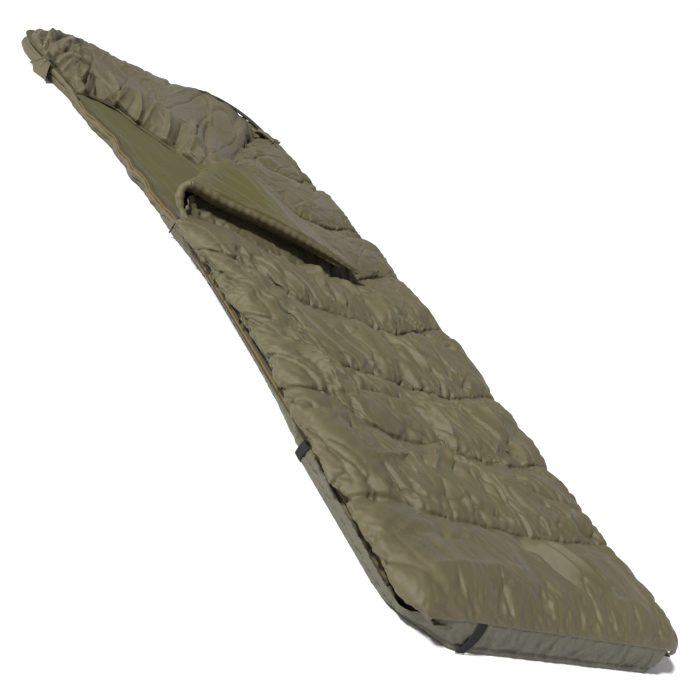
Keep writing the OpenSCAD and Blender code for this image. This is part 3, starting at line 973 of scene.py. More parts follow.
def make_top():
    """The quilted top, blown up, refined to small cells, creased, and cut along its seams
    into four pieces of two channels."""
    grid, s, t, k = top_grid()
    held = (t == 0) | (t == 1) | edges_held(grid)
    grid = puffed(grid, held, **TOP_PUFF)
    grid = much_refined(grid)
    s = much_refined(s[..., None])[..., 0]
    share = np.interp(np.arange(len(grid)) / FINER, np.arange(len(held)), k[:, 0] + t[:, 0])
    share = (share - np.floor(share))[:, None] * np.ones_like(s)
    grid = pushed(grid, top_creases(grid[..., 0], grid[..., 1], s, share))
    rows_each = (len(grid) - 1) // TOP_PIECES
    for part in range(TOP_PIECES):
        piece_rows = grid[part * rows_each:(part + 1) * rows_each + 1]
        top = make_piece(f"quilt_top_{part + 1}", piece_rows, SHELL, uv=piece_rows[..., :2])
        hidden = [f"top_channel_{2 * part + 1}", f"top_channel_{2 * part + 2}"]
        belongs(top, "bag", "shell_cloth", *hidden, *(["top_shell"] if part == 0 else []))


def make_top_lining():
    """The lining under the top: a level sheet a little above the sleeping space's roof."""
    y = np.linspace(FOOT_Y + 0.012, 0.915, 150)[:, None]
    s = np.linspace(1, 0, 50)[None, :]
    inset = 0.006
    x = top_left(y) + inset + (top_right(y) - top_left(y) - 2 * inset) * s
    x, y = np.broadcast_arrays(x, y)
    edge = np.minimum(s, 1 - s) * (top_right(y) - top_left(y))
    z = QUILT_LOW + 0.001 + 0.003 * folds(x, y, 31, 0.07, 3.0, 80) * ramp(0, 0.05, edge)
    lining = make_piece("quilt_lining", np.stack([x, y, z], -1), LINING)
    belongs(lining, "bag", "lining_cloth", "top_lining")


make_top()
make_top_lining()

# ---- the base


def base_wave(y):
    """How far the open zip edge of the base wanders sideways and upward."""
    free = ramp(LEFT_SLIDER_Y + 0.03, LEFT_SLIDER_Y + 0.12, y) * (1 - ramp(0.74, 0.86, y))
    side = 0.007 * np.sin(y * 25 + 0.7) + 0.004 * np.sin(y * 57)
    lift = 0.004 * np.sin(y * 31 + 2.0) + 0.002 * np.sin(y * 71)
    return free * side, free * (lift - 0.012)


# how far the mat is squeezed in under the closed zip, as (place along the bag, distance)
SQUEEZE = np.array([[-0.66, 0.0], [-0.60, 0.006], [-0.48, 0.025], [-0.34, 0.040],
                    [-0.10, 0.046], [0.04, 0.028], [0.10, 0.012], [0.16, 0.0]])


def base_side(y):
    """(left, right) edges of the base."""
    cut = FOOT_CUT[0] * np.clip((FOOT_Y + FOOT_CUT[1] - y) / FOOT_CUT[1], 0, 1)
    turn = rounded(FOOT_Y + FOOT_R - y, FOOT_R)
    return left_edge(y) + cut + base_wave(y)[0], right_edge(y) - turn


def make_base():
    """The padded mat: at each place along it a flat loop with round sides, drawn in to
    nothing at the foot and the head."""
    inset = 0.005
    t = np.linspace(0, 1, BASE_ROWS)
    t = t - 0.012 * np.sin(2 * np.pi * t)
    y = FOOT_EDGE + inset + (HEAD_Y - FOOT_EDGE - 2 * inset) * t
    left, right = base_side(y)
    left, right = left + inset, right - inset
    end = bulge((y - y[0]) / 0.014) * bulge((y[-1] - y) / 0.014)
    mid, half = (BASE_LOW + MAT_TOP) / 2, (MAT_TOP - BASE_LOW) / 2
    a = np.linspace(-np.pi / 2, np.pi / 2, 9)
    flat = np.linspace(0.02, 0.98, 30)
    loop_s = np.concatenate([flat, a * 0 + 1, flat[::-1], a * 0])
    loop_x = np.concatenate([flat * 0, np.cos(a), flat * 0, -np.cos(a)])
    loop_z = np.concatenate([flat * 0 - 1, np.sin(a), flat * 0 + 1, -np.sin(a)])
    r = half * 0.9
    x = (left + r)[:, None] + (right - left - 2 * r)[:, None] * loop_s + r * loop_x
    z = mid + half * end[:, None] * loop_z
    z = z + (base_wave(y)[1] * 0.8)[:, None] * (1 - loop_s) ** 6 * (loop_z > -0.5)
    yy = np.broadcast_to(y[:, None], x.shape)
    pleat = (folds(x, yy, 41, 0.03, 2.0, 10) - 0.5) * 0.004 * (np.abs(loop_x) > 0.3)
    side = np.where(loop_s > 0.5, 1, -1) * pleat
    side = side + (np.interp(y, *SQUEEZE.T)[:, None] * (1 - z / MAT_TOP) * (1 - loop_s))
    base = make_piece("base_mat", np.stack([x + side, yy, np.maximum(z, BASE_LOW)], -1),
                      SHELL, around=True, capped=True)
    belongs(base, "bag", "shell_cloth", "base_shell", "base_wadding")


def lining_height(x, y):
    """Height of the base's lining: soft lengthwise folds, one long pale one beside the open
    edge, and a rise towards the edge's tape."""
    z = BASE_TOP + 0.0012 + 0.0035 * (Noise(51)(x / 0.11, y / 0.32) + 0.3)
    z += 0.0024 * folds(x, y, 52, 0.05, 5.0, 112)
    z += crease(x, y, (-0.375, 0.740), (-0.225, 0.300), 0.008, 0.006, 0.004)
    z += crease(x, y, (-0.300, 0.640), (-0.190, 0.350), 0.012, 0.004, 0.006)
    z += crease(x, y, (-0.400, 0.640), (-0.320, 0.360), 0.014, 0.005, -0.004)
    return z


def make_base_lining():
    """The green lining that lies on the mat, its columns closer together at the open edge."""
    y = np.linspace(FOOT_Y + 0.02, HEAD_Y - 0.02, 330)[:, None]
    left, right = base_side(y)
    s = np.linspace(0, 1, 130)[None, :]
    s = 0.5 * s + 0.5 * s * s
    open_side = ramp(LEFT_SLIDER_Y - 0.02, LEFT_SLIDER_Y + 0.06, y)
    lip = 0.007 - 0.005 * open_side
    x = left + lip + (right - left - 0.009 - lip) * s
    y = np.broadcast_to(y, x.shape)
    near = ramp(0, 0.07, x - left)
    edge_z = BASE_TOP - 0.001 + 0.012 * open_side
    z = lining_height(x, y) * near + edge_z * (1 - near)
    z = z + base_wave(y)[1] * 0.8 * (1 - s) ** 6
    z = np.where(right - x < 0.03, np.minimum(z, BASE_TOP + 0.002), z)
    lining = make_piece("base_lining_cloth", np.stack([x, y, z], -1), LINING)
    belongs(lining, "bag", "lining_cloth", "base_lining")


make_base()
make_base_lining()

# ---- the foot band


BAND_POINTS = 420
SIDE_BAND_TOP = 0.034
CLOTH_THICK = 0.0016
BAND_SEAM = 0.016


def band_line(count, cut, out):
    """Points round the foot from the left side's end to the right side's end, evenly: the
    left corner is cut off by cut each way, and the left side stands out by out there."""
    a = np.linspace(-np.pi / 2, 0, 12)
    corner = np.stack([RIGHT_X - FOOT_R + FOOT_R * np.cos(a),
                       FOOT_EDGE + FOOT_R + FOOT_R * np.sin(a)], -1)
    side = LEFT_X - out
    line = np.concatenate([
        [[LEFT_X, SIDE_BAND_END], [side, FOOT_EDGE + cut + 0.03],
         [side + 0.008, FOOT_EDGE + cut - 0.010],
         [side + cut - 0.010, FOOT_EDGE + 0.005],
         [side + cut + 0.03, FOOT_EDGE]], corner, [[RIGHT_X, SIDE_BAND_END]]])
    return smoothed(resampled(line, count), 4)


def make_band():
    """The upright band: a wall that bellies out, drawn in at its two seams, and lower along
    the sides than at the foot."""
    line = band_line(BAND_POINTS, FOOT_CUT[0] - 0.006, 0.0)
    full = band_line(BAND_POINTS, 0.050, 0.020)
    out = outward(line)
    at_foot = 1 - ramp(FOOT_Y + 0.035, FOOT_Y + 0.10, line[:, 1:])
    tall = SIDE_BAND_TOP + (BAND_TOP + 0.003 - SIDE_BAND_TOP) * at_foot
    h = np.linspace(0, 1, 25)[None, :]
    z = 0.0006 + tall * h
    above = np.clip((z - BAND_SEAM) / np.maximum(tall - BAND_SEAM, 1e-3), 0, 1)
    belly = 0.0045 * np.sin(np.pi * above)
    belly = belly + 0.002 * np.sin(np.pi * z / BAND_SEAM) * (z < BAND_SEAM)
    g = np.broadcast_to(gone_along(line)[:, None], z.shape)
    pucker = 0.0050 * np.exp(-(tall - z) / 0.016) * (folds(z, g, 61, 0.011, 5, 0) - 0.5)
    pucker += 0.0075 * (folds(z, g, 62, 0.040, 1.6, 18) - 0.5) * np.sin(np.pi * h)
    pucker += 0.0030 * (folds(z, g, 63, 0.012, 4.0, 8) - 0.5) * np.sin(np.pi * h)
    groove = -0.0016 * np.exp(-((z - BAND_SEAM) / 0.0022) ** 2)
    move = belly + pucker + groove
    turned = h ** 0.8
    x = line[:, :1] * (1 - turned) + full[:, :1] * turned
    y = line[:, 1:] * (1 - turned) + full[:, 1:] * turned
    grid = np.stack([x + out[:, :1] * move, y + out[:, 1:] * move, z], -1)
    band = make_piece("foot_band_cloth", grid[:, ::-1], BAND)
    thicken(band, CLOTH_THICK)
    belongs(band, "bag", "band_cloth", "foot_band")


make_band()

# ---- the hood

ARCH = np.array([[0.110, 1.084, 0.103], [0.180, 1.072, 0.108],
                 [0.235, 1.040, 0.110], [0.276, 0.995, 0.110], [0.302, 0.940, 0.109],
                 [0.318, 0.886, 0.105], [0.326, 0.831, 0.099]])
HOOD_COLUMNS = 84
HOOD_ROWS = 56
BRIM_Z = 0.0345
CROWN_Z = 0.088
OUTLINE_Z = 0.030


def hood_start():
    """The line the hood starts from: its brim, then the neck seam up to the right side."""
    right = np.array([[0.318, 0.945], [0.345, 0.952]])
    return np.concatenate([BRIM, [[-0.034, 0.530], [-0.012, 0.516]], NECK + [0.010, -0.010],
                           right])


def hood_end():
    """The line it ends on: up the left side, round the head, and down the right side."""
    left_bend, right_bend = HEAD_Y - HEAD_R_LEFT, HEAD_Y - HEAD_R_RIGHT
    round_left = left_bend + HEAD_R_LEFT * np.sin(np.linspace(0.1, np.pi / 2, 10))
    round_right = right_bend + HEAD_R_RIGHT * np.sin(np.linspace(np.pi / 2, 0.1, 9))
    left_y = np.concatenate([np.linspace(0.79, left_bend, 8), round_left])
    right_y = np.concatenate([round_right, np.linspace(right_bend, 0.955, 4)])
    left = np.stack([left_edge(left_y) + 0.014, left_y - 0.010 * ramp(1.0, 1.1, left_y)], -1)
    right = np.stack([right_edge(right_y) - 0.004, right_y], -1)
    return np.concatenate([left, right])


def hood_grid():
    """The hood in plan, as a fan from its brim to the head's outline: (points, share across,
    share along, distance to the outline, distance to the brim)."""
    start = smoothed(resampled(hood_start(), HOOD_COLUMNS), 2)
    end = smoothed(resampled(hood_end(), HOOD_COLUMNS), 3)
    u = np.linspace(0, 1, HOOD_COLUMNS)[None, :]
    w = np.linspace(0, 1, HOOD_ROWS)[:, None]
    v = 0.35 * (0.5 - 0.5 * np.cos(np.pi * w)) + 0.65 * w
    flat = start[None] * (1 - v[..., None]) + end[None] * v[..., None]
    long = np.linalg.norm(end - start, axis=1)[None, :]
    u, v, long = np.broadcast_arrays(u, v, long)
    return flat, u, v, (1 - v) * long, v * long


HOOD_CREASES = creases_of([
    ((-0.014, 0.560), (0.300, 0.985), 0.030, -0.024, -0.028),
    ((-0.060, 0.570), (0.060, 0.860), 0.010, -0.010, 0.010),
    ((-0.095, 0.570), (-0.020, 0.800), 0.010, 0.009, 0.012),
    ((-0.130, 0.575), (-0.080, 0.760), 0.008, -0.009, 0.010),
    ((-0.165, 0.580), (-0.120, 0.800), 0.011, 0.008, 0.0),
    ((-0.235, 0.600), (-0.205, 0.860), 0.007, 0.010, 0.0),
    ((-0.262, 0.610), (-0.300, 0.930), 0.009, 0.008, -0.01),
    ((-0.290, 0.640), (-0.345, 0.900), 0.008, -0.009, 0.0),
    ((-0.455, 0.900), (-0.345, 0.930), 0.010, -0.014, 0.012),
    ((-0.460, 0.880), (-0.350, 0.840), 0.014, 0.012, 0.012),
    ((-0.455, 0.845), (-0.380, 0.745), 0.010, -0.012, 0.006),
    ((-0.420, 0.840), (-0.350, 0.740), 0.009, 0.010, 0.004),
    ((-0.478, 0.930), (-0.400, 1.070), 0.008, -0.015, 0.010),
    ((-0.462, 0.940), (-0.370, 1.090), 0.008, 0.012, 0.012),
    ((-0.440, 0.950), (-0.350, 1.080), 0.008, -0.013, 0.010),
    ((-0.470, 0.985), (-0.330, 1.110), 0.008, -0.012, 0.020),
    ((-0.410, 0.960), (-0.310, 1.060), 0.010, 0.008, 0.006),
    ((-0.300, 1.080), (-0.230, 0.900), 0.012, 0.006, 0.0),
    ((-0.210, 1.080), (-0.150, 0.860), 0.008, -0.006, 0.006),
    ((-0.050, 1.000), (0.020, 1.100), 0.008, -0.006, 0.0),
    ((0.050, 0.830), (0.140, 1.040), 0.012, 0.006, 0.0),
    ((0.150, 0.880), (0.260, 1.050), 0.012, -0.007, 0.0),
])


HOOD_GAIN = 1.3
HOOD_FIELDS = [
    (71, 50, (-0.38, 0.10, 0.60, 1.05), 68, 16, 0.18, 0.004, 0.0030),
    (72, 30, (-0.30, 0.25, 0.65, 1.08), 40, 35, 0.08, 0.004, 0.0020),
    (73, 26, (-0.46, -0.34, 0.80, 1.02), 30, 40, 0.09, 0.007, 0.0065),
]


def hood_creases(x, y, to_brim, to_end):
    """Every crease and pucker of the hood, as a height to push it out by."""
    total = HOOD_CREASES(x, y)
    for field in HOOD_FIELDS:
        total += crease_field(x, y, *field)
    total += 0.0034 * np.exp(-to_brim / 0.040) * (folds(x, y, 74, 0.024, 4.5, 76) - 0.5)
    total += 0.0040 * np.exp(-to_end / 0.045) * (folds(x, y, 75, 0.034, 3.5, 60) - 0.5)
    total += 0.0030 * (folds(x, y, 76, 0.075, 3.8, 64) - 0.5)
    total -= 0.0040 * folds(x, y, 78, 0.100, 4.0, 66, 8)
    return HOOD_GAIN * total


def make_hood():
    """The hood's outer cloth over its filling: it rises from the brim and from the outline
    to its crown as quarter circles, and is higher at the neck and under the dark head edge."""
    flat, u, v, to_end, to_brim = hood_grid()
    x, y = flat[..., 0], flat[..., 1]
    neck = ramp(0.44, 0.56, u)
    arch = ramp(0.66, 0.80, u)
    brim_z = BRIM_Z + 0.050 * ramp(0.39, 0.50, u) + 0.014 * neck
    crown = CROWN_Z + 0.003 * Noise(77)(x / 0.2, y / 0.2) + 0.020 * arch
    crown = crown - 0.012 * (1 - ramp(0.0, 0.22, u)) * (1 - v)
    end_wide = 0.090 - 0.055 * arch
    rise = bulge(to_brim / (0.260 - 0.20 * neck)) ** 1.1 * bulge(to_end / end_wide)
    low = brim_z * (1 - ramp(0.3, 0.9, v)) + OUTLINE_Z * ramp(0.3, 0.9, v)
    z = low + (crown - low) * rise
    out = np.gradient(flat, axis=0)
    out /= np.maximum(np.linalg.norm(out, axis=-1, keepdims=True), 1e-9)
    swell = 0.005 * np.sin(np.pi * bulge(to_end / end_wide)) * (to_end < end_wide)
    flat = flat + out * swell[..., None]
    grid = np.concatenate([flat, z[..., None]], -1)
    grid = much_refined(puffed(grid, edges_held(grid), **HOOD_PUFF))
    reach = much_refined(np.stack([to_brim, to_end], -1))
    push = hood_creases(grid[..., 0], grid[..., 1], reach[..., 0], reach[..., 1])
    grid = pushed(grid, push * ramp(0, 0.010, reach.min(-1)))
    hood = make_piece("hood_quilt", grid, SHELL)
    belongs(hood, "bag", "shell_cloth", "hood_shell", "hood_wadding")
    return grid


def make_hood_lining():
    """The hood's lining: a level sheet under the hood, from the brim to the head."""
    flat, _, _, to_end, to_brim = hood_grid()
    inner = ramp(0, 0.03, np.minimum(to_end, to_brim))
    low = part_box("hood_lining")[0].z
    z = low + 0.001 + 0.006 * inner * (folds(flat[..., 0], flat[..., 1], 81, 0.06, 2.5, 70) - 0.3)
    z = np.minimum(z, hood_points[::FINER, ::FINER, 2] - 0.007 * ramp(0.0, 0.02, to_brim) - 0.0005)
    grid = np.concatenate([flat, z[..., None]], -1)[:, ::-1]
    lining = make_piece("hood_lining_cloth", grid, LINING)
    belongs(lining, "bag", "lining_cloth", "hood_lining")


def make_hood_wall():
    """The wall round the head, from the ground to the hood's edge: it bellies out, and runs
    in at its foot."""
    line = smoothed(resampled(hood_end(), 260), 6)
    out = -outward(line)
    h = np.linspace(0, 1, 12)[None, :]
    g, z = np.broadcast_arrays(gone_along(line)[:, None], 0.001 + 0.033 * h)
    push = 0.006 * np.sin(np.pi * h) - 0.012 * (1 - h) ** 2
    push = push + 0.004 * (folds(z, g, 82, 0.022, 2.0, 10) - 0.5) * np.sin(np.pi * h)
    grid = np.stack([line[:, :1] + out[:, :1] * push, line[:, 1:] + out[:, 1:] * push, z], -1)
    wall = make_piece("hood_wall_cloth", grid, SHELL)
    thicken(wall, CLOTH_THICK)
    belongs(wall, "bag", "shell_cloth", "hood_wall")


hood_points = make_hood()
make_hood_lining()
make_hood_wall()

# ---- the brim's binding and the dark head edge

BRIM_SHARE = 0.44


def make_brim_binding():
    """A rounded binding along the hood's front edge."""
    line = hood_points[0, :int(hood_points.shape[1] * BRIM_SHARE)] - [0, 0, 0.0005]
    make_tube("brim_binding_tape", line, 0.0026, SHELL, "bag", "binding", ["brim_binding"])


def make_dark_head_edge():
    """A near-black tube, thickest at its middle, that stands along the right side of the head's
    edge.
    """
    line = smoothed(resampled(ARCH, 90), 16) + [-0.004, -0.002, 0.0025]
    t = np.linspace(0, 1, len(line))
    radius = 0.0015 + 0.0050 * np.sin(np.pi * t) ** 0.6
    make_tube("dark_head_edge", line, radius, DARK_EDGE_CLOTH, "bag", "binding", sides=14, flat=0.8)


make_brim_binding()
make_dark_head_edge()

# ---- zips

COIL_PITCH = 0.0030
TOOTH_POINTS = 4
ZIP_STEP = 0.006
TAPE_THICK = 0.0012
BASE_TAPE_Z = (0.034, 0.0500)
TOP_TAPE_Z = (0.0535, 0.0700)
COIL_OUT = LEFT_X - centre("left_coil_top")[0]


def zip_path(side, y0, y1, z, out):
    """A line along a zip: out is how far outside the bag's edge, z its height."""
    y = np.linspace(y0, y1, max(8, int(abs(y1 - y0) / ZIP_STEP)))
    edge = left_edge(y) if side < 0 else right_edge(y)
    wave, lift = base_wave(y) if side < 0 else (0 * y, 0 * y)
    return np.stack([edge + side * out + wave, y, z + lift], -1)


def make_tape(name, side, y0, y1, z0, z1, replaced):
    """Zip tape: an upright strip between two heights."""
    path = zip_path(side, y0, y1, (z0 + z1) / 2, 0.0)
    tape = make_strip(name, path, (0, 0, 1.0), z1 - z0, TAPE_THICK, TAPE, abs(y1 - y0))
    belongs(tape, "bag", "zip_tape", replaced)


def make_coil(name, path, length, radius, beat, body, replaced, flat=1.0):
    """One row of zip coil: a six-sided tube whose radius beats once a tooth."""
    count = int(length / COIL_PITCH) * TOOTH_POINTS
    turns = np.sin(np.arange(count) * np.pi / 2)
    make_tube(name, resampled(path, count), radius + beat * turns, COIL, body, "zip_coil",
              [replaced], sides=6, flat=flat)


def make_zips():
    """Both zips: a tape and a row of coil on the base, and the same on the top, which on the
    left go only as far as the slider."""
    for side, word, foot, head, top_head in (
            (-1, "left", LEFT_ZIP_FOOT, LEFT_ZIP_HEAD, LEFT_SLIDER_Y),
            (1, "right", RIGHT_ZIP_FOOT, RIGHT_ZIP_HEAD, RIGHT_ZIP_HEAD)):
        halves = (("base", head, BASE_TAPE_Z), ("top", top_head, TOP_TAPE_Z))
        for half, end, tape_z in halves:
            make_tape(f"{word}_zip_tape_{half}", side, foot, end, *tape_z,
                      f"{word}_tape_{half}")
        for half, end, _ in halves:
            path = zip_path(side, foot, end, centre(f"left_coil_{half}")[2], COIL_OUT)
            make_coil(f"{word}_zip_coil_{half}", path, end - foot, 0.00095, 0.00025, "bag",
                      f"{word}_coil_{half}", flat=0.95)


make_zips()


def make_base_edge():
    """The shell-coloured edge roll of the base that the zip's tape is sewn to."""
    for side, word, y0, y1 in ((-1, "left", FOOT_Y + 0.13, 0.92),
                               (1, "right", FOOT_Y + 0.07, 0.94)):
        path = zip_path(side, y0, y1, 0.0300, -0.0060)
        if side < 0:
            path[:, 0] += 0.5 * np.interp(path[:, 1], *SQUEEZE.T)
        r = 0.0085 + 0.0012 * np.sin(path[:, 1] * 83) + 0.0008 * np.sin(path[:, 1] * 191)
        make_tube(f"{word}_base_edge_roll", path, r, SHELL, "bag", "shell_cloth")


make_base_edge()

# ---- the folded corner

FLAP_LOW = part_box("corner_shell")[0].z
FLAP_U = 60
FLAP_V = 70
LINING_SHARE = 0.62
RIM_R = 0.0100
RIM_CUT = 0.19
CORNER_TAPE = (0.16, 0.92)
CORNER_TAPE_WIDTH = 0.014
CORNER_COIL_LENGTH = 0.48


def flap_plan():
    """The folded corner from above: rows from its rim to the neck, each from the fold line
    to the hem."""
    v = np.linspace(0, 0.985, FLAP_V)[:, None]
    u = np.linspace(0, 1, FLAP_U)[None, :]
    left = FOLD_A[None] + v * (FOLD_B - FOLD_A)[None]
    right = TIP[None] + v * (FOLD_B - TIP)[None] + np.sin(np.pi * v) * np.array([[0.028, 0.0]])
    flat = left[:, None] * (1 - u[..., None]) + right[:, None] * u[..., None]
    return flat, *np.broadcast_arrays(u, v)


def flap_low(u, v):
    """Height of the corner's underside: lifted along the rim, where the hollow is."""
    rim = np.exp(-v / 0.20) * np.sin(np.pi * np.clip(u * 0.80 + 0.10, 0, 1))
    return FLAP_LOW + 0.002 + 0.020 * rim


FLAP_CREASES = creases_of([
    ((-0.215, 0.275), (-0.090, 0.170), 0.010, 0.0060, 0.012),
    ((-0.180, 0.320), (-0.040, 0.190), 0.009, -0.0060, 0.014),
    ((-0.150, 0.350), (-0.030, 0.215), 0.009, 0.0060, 0.014),
    ((-0.110, 0.400), (-0.030, 0.260), 0.008, -0.0055, 0.010),
    ((-0.080, 0.430), (-0.030, 0.300), 0.008, 0.0050, 0.008),
    ((-0.250, 0.240), (-0.140, 0.160), 0.012, -0.0050, 0.010),
])


def flap_high(x, y, u, v):
    """Height of the corner's upper face, before it turns down at its edges."""
    thick = 0.016 - 0.009 * ramp(0.55, 1.0, u)
    z = flap_low(u, v) + thick
    z = z + FLAP_CREASES(x, y) + 0.0022 * (folds(x, y, 91, 0.035, 3.5, -58) - 0.5)
    return z + 0.004 * Noise(92)(x / 0.09, y / 0.09)


def make_flap():
    """The folded corner: lining and shell-coloured facing above, which meet at LINING_SHARE
    of the way to the hem, and shell below. The hem and the rim are round."""
    flat, u, v = flap_plan()
    x, y = flat[..., 0], flat[..., 1]
    low = flap_low(u, v)
    high = flap_high(x, y, u, v)
    wide = np.linalg.norm(flat[:, -1] - flat[:, 0], axis=1)[:, None]
    hem = bulge((1 - u) * wide / 0.030)
    rim = bulge(v / 0.03)
    top_z = low + 0.001 + (high - low) * (0.25 + 0.75 * hem * rim)
    upper = refined(np.stack([x, y, top_z], -1))
    under = np.stack([x, y, low], -1)[:, ::-1]
    cut = int(np.argmax(refined(u[..., None])[0, :, 0] > LINING_SHARE))
    for name, grid, finish, slot, replaced in (
            ("corner_lining_cloth", upper[:, :cut + 1], LINING, "lining_cloth",
             "corner_lining"),
            ("corner_facing_cloth", upper[:, cut:], SHELL, "shell_cloth", "corner_wadding"),
            ("corner_shell_cloth", under, SHELL, "shell_cloth", "corner_shell")):
        piece = belongs(make_piece(name, grid, finish), "corner", slot, replaced)
    return upper


flap_points = make_flap()


def rim_path():
    """The zip edge's way: up and over beside the slider, then along the corner's rim."""
    start = [[LEFT_X + 0.004, LEFT_SLIDER_Y - 0.030, 0.064],
             [LEFT_X - 0.010, LEFT_SLIDER_Y + 0.008, 0.074],
             [LEFT_X - 0.022, LEFT_SLIDER_Y + 0.030, 0.095],
             [LEFT_X - 0.020, LEFT_SLIDER_Y + 0.043, 0.118],
             [LEFT_X - 0.002, LEFT_SLIDER_Y + 0.045, 0.134]]
    edge = flap_points[0]
    along = edge[::6] + [0, -0.004, -0.004]
    return smoothed(resampled(np.concatenate([start, along[3:]]), 160), 10)


def make_rim():
    """The padded roll along the corner's zip edge, thinning out to the corner's tip. Up to
    RIM_CUT of its way it stays with the bag, and the rest moves with the corner."""
    path = rim_path()
    t = np.linspace(0, 1, len(path))
    r = RIM_R * (0.55 + 0.45 * ramp(0, 0.12, t)) * (1 - 0.72 * ramp(0.60, 1.0, t))
    r = r + 0.0012 * np.sin(t * 70) * (1 - t) + 0.0008 * np.sin(t * 173)
    cut = int(len(path) * RIM_CUT)
    whole = tube(path, r, 16)
    bend = make_piece("rim_bend_roll", whole[:cut + 1], SHELL, around=True, capped=True)
    roll = make_piece("corner_rim_roll", whole[cut:], SHELL, around=True, capped=True)
    belongs(roll, "corner", "shell_cloth", "corner_draft_tube")
    belongs(bend, "bag", "shell_cloth")
    return path, r


rim_line, rim_radius = make_rim()


def make_corner_zip():
    """Tape and coil hanging below the rim's roll, on its outer side."""
    _, side, up = frames_along(rim_line)
    outer = rim_line - side * (rim_radius * 0.3)[:, None] - up * (rim_radius + 0.004)[:, None]
    first, last = (int(len(outer) * share) for share in CORNER_TAPE)
    part = outer[first:last]
    lean_in = side[first:last] * 0.5 - [0, 0, 1.0]
    tape = make_strip("corner_zip_tape", part, lean_in, CORNER_TAPE_WIDTH, TAPE_THICK, TAPE,
                      length=0.5)
    belongs(tape, "corner", "zip_tape", "corner_tape")
    make_coil("corner_zip_coil", part - [0, 0, 0.006], CORNER_COIL_LENGTH, 0.0014, 0.0005,
              "corner", "corner_coil")


make_corner_zip()


FOLD_REACH = 0.030


def make_fold_cloth():
    """The lining round the fold line: from the top's underside round to the corner's upper
    face, as half an oval about the fold's axis."""
    count = 60
    t = np.linspace(0, 1, count)[:, None]
    line = FOLD_A[None] * (1 - t) + FOLD_B[None] * t
    along = (FOLD_B - FOLD_A) / np.linalg.norm(FOLD_B - FOLD_A)
    out = np.array([-along[1], along[0]])
    edge = resampled(flap_points[:, 0], count)
    a = np.linspace(-np.pi / 2, np.pi / 2, 22)[None, :]
    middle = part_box("corner_shell")[0].z - 0.0015
    low = QUILT_LOW + 0.002
    reach = FOLD_REACH + 0.004 * np.sin(t * 19) + 0.002 * np.sin(t * 47)
    height = np.where(a < 0, (middle - low) * np.sin(a), (edge[:, 2:] - middle) * np.sin(a))
    far = reach * np.cos(a)
    x = line[:, :1] + out[0] * far
    y = line[:, 1:] + out[1] * far
    z = middle + height
    ease = ramp(0.0, 0.5, np.broadcast_to(a / (np.pi / 2), x.shape))
    x = x + (edge[:, :1] - line[:, :1]) * ease
    y = y + (edge[:, 1:2] - line[:, 1:]) * ease
    cloth = make_piece("fold_lining_cloth", np.stack([x, y, z], -1), LINING)
    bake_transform(cloth)


make_fold_cloth()

# ---- straps, loop and tab


STRAP_WIDTH = 0.025


def make_strap(name, path, across, thick, replaced):
    """A strap of webbing that lies along path."""
    strap = make_strip(name, path, across, STRAP_WIDTH, thick, WEBBING, gone_along(path)[-1])
    belongs(strap, "bag", "webbing", replaced)


def make_straps():
    """The foot strap stands on the band at the foot, and the side strap on the low band at
    the left. Both belly out as a half sine."""
    h = np.linspace(0, 1, 30)
    x = centre("foot_strap")[0] + 0.002 * h
    z = 0.003 + (BAND_TOP - 0.001) * h
    y = FOOT_EDGE - 0.0055 - 0.0035 * np.sin(np.pi * h) + 0.004 * h ** 6
    line = np.stack([x, y, z], -1)
    make_strap("foot_strap_webbing", line, (1.0, 0, 0), 0.0018, "foot_strap")
    z = np.linspace(0.003, 0.037, 16)
    x = LEFT_X - 0.0060 - 0.0020 * np.sin(np.pi * np.linspace(0, 1, 16))
    line = np.stack([x, np.full(16, centre("side_strap")[1]), z], -1)
    make_strap("side_strap_webbing", line, (0, 1.0, 0), 0.0016, "side_strap")


make_straps()

TAB_TURN = 16
TAB_THICK = 0.0026
TAB_HALF_WIDTH = 0.020
TAB_FLARE = 0.030
TAB_DROP = 0.043


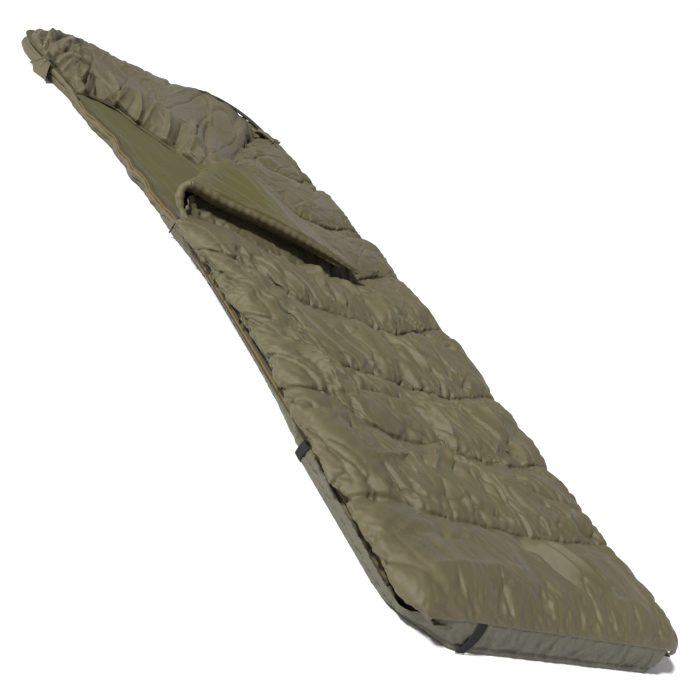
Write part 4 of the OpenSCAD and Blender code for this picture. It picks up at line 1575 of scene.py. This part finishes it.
def make_tab():
    """The neck tab: a pinched cloth tab that hangs down and flares to its end. Its width and
    its hang are functions of the share h down it."""
    top = np.array([*centre("neck_tab")[:2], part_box("neck_tab")[1].z])
    turn = math.radians(TAB_TURN)
    along = np.array([-math.sin(turn), math.cos(turn), 0])
    out = np.array([-math.cos(turn), -math.sin(turn), 0])
    h = np.linspace(0, 1, 24)[:, None]
    w = np.linspace(-1, 1, 28)[None, :]
    half = TAB_HALF_WIDTH + TAB_FLARE * h ** 1.2
    drop = TAB_DROP * h
    away = 0.005 + 0.012 * h + 0.006 * np.sin(w * 5.0 + 1.0) * (0.35 + 0.65 * h)
    away = away + 0.0025 * np.sin(w * 13) * (1 - h)
    grid = (top + along * (half * w)[..., None] + out * away[..., None]
            + np.array([0, 0, -1.0]) * (drop + 0.004 * np.cos(w * 4) * h)[..., None])
    grid[..., 2] = np.maximum(grid[..., 2], 0.002)
    tab = make_piece("neck_tab_cloth", grid, SHELL)
    thicken(tab, TAB_THICK)
    belongs(tab, "tab", "shell_cloth", "neck_tab")


make_tab()

# ---- finishes of the frame's parts

NODE_FINISH = {
    "left_draft_tube": SHELL, "right_draft_tube": SHELL, "zip_stops": SLIDER,
    "neck_loop": WEBBING, "tab_patch": HOOKS, "left_slider": SLIDER,
    "left_pull_ring": SLIDER, "left_pull_cord": PULL_CORD, "left_pull_tip": PLASTIC,
    "right_slider": SLIDER, "right_pull_tab": BARE, "right_toggle_cord": TOGGLE_CORD,
    "right_toggle": PLASTIC, "neck_tab_hooks": HOOKS,
}


def add_cloth_place(node):
    """Cloth coordinates for a part of the frame: its points' places along X + Y, and Z."""
    mesh = node.data
    points = np.empty(len(mesh.vertices) * 3, np.float32)
    mesh.vertices.foreach_get("co", points)
    points = points.reshape(-1, 3)
    add_cloth_uv(mesh, np.stack([points[:, 0] + points[:, 1], points[:, 2]], -1))


def finish_nodes():
    """Gives every solid of the frame that still shows its material."""
    for name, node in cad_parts.items():
        if node.hide_render:
            continue
        add_cloth_place(node)
        node.data.materials.clear()
        node.data.materials.append(NODE_FINISH[name])


finish_nodes()
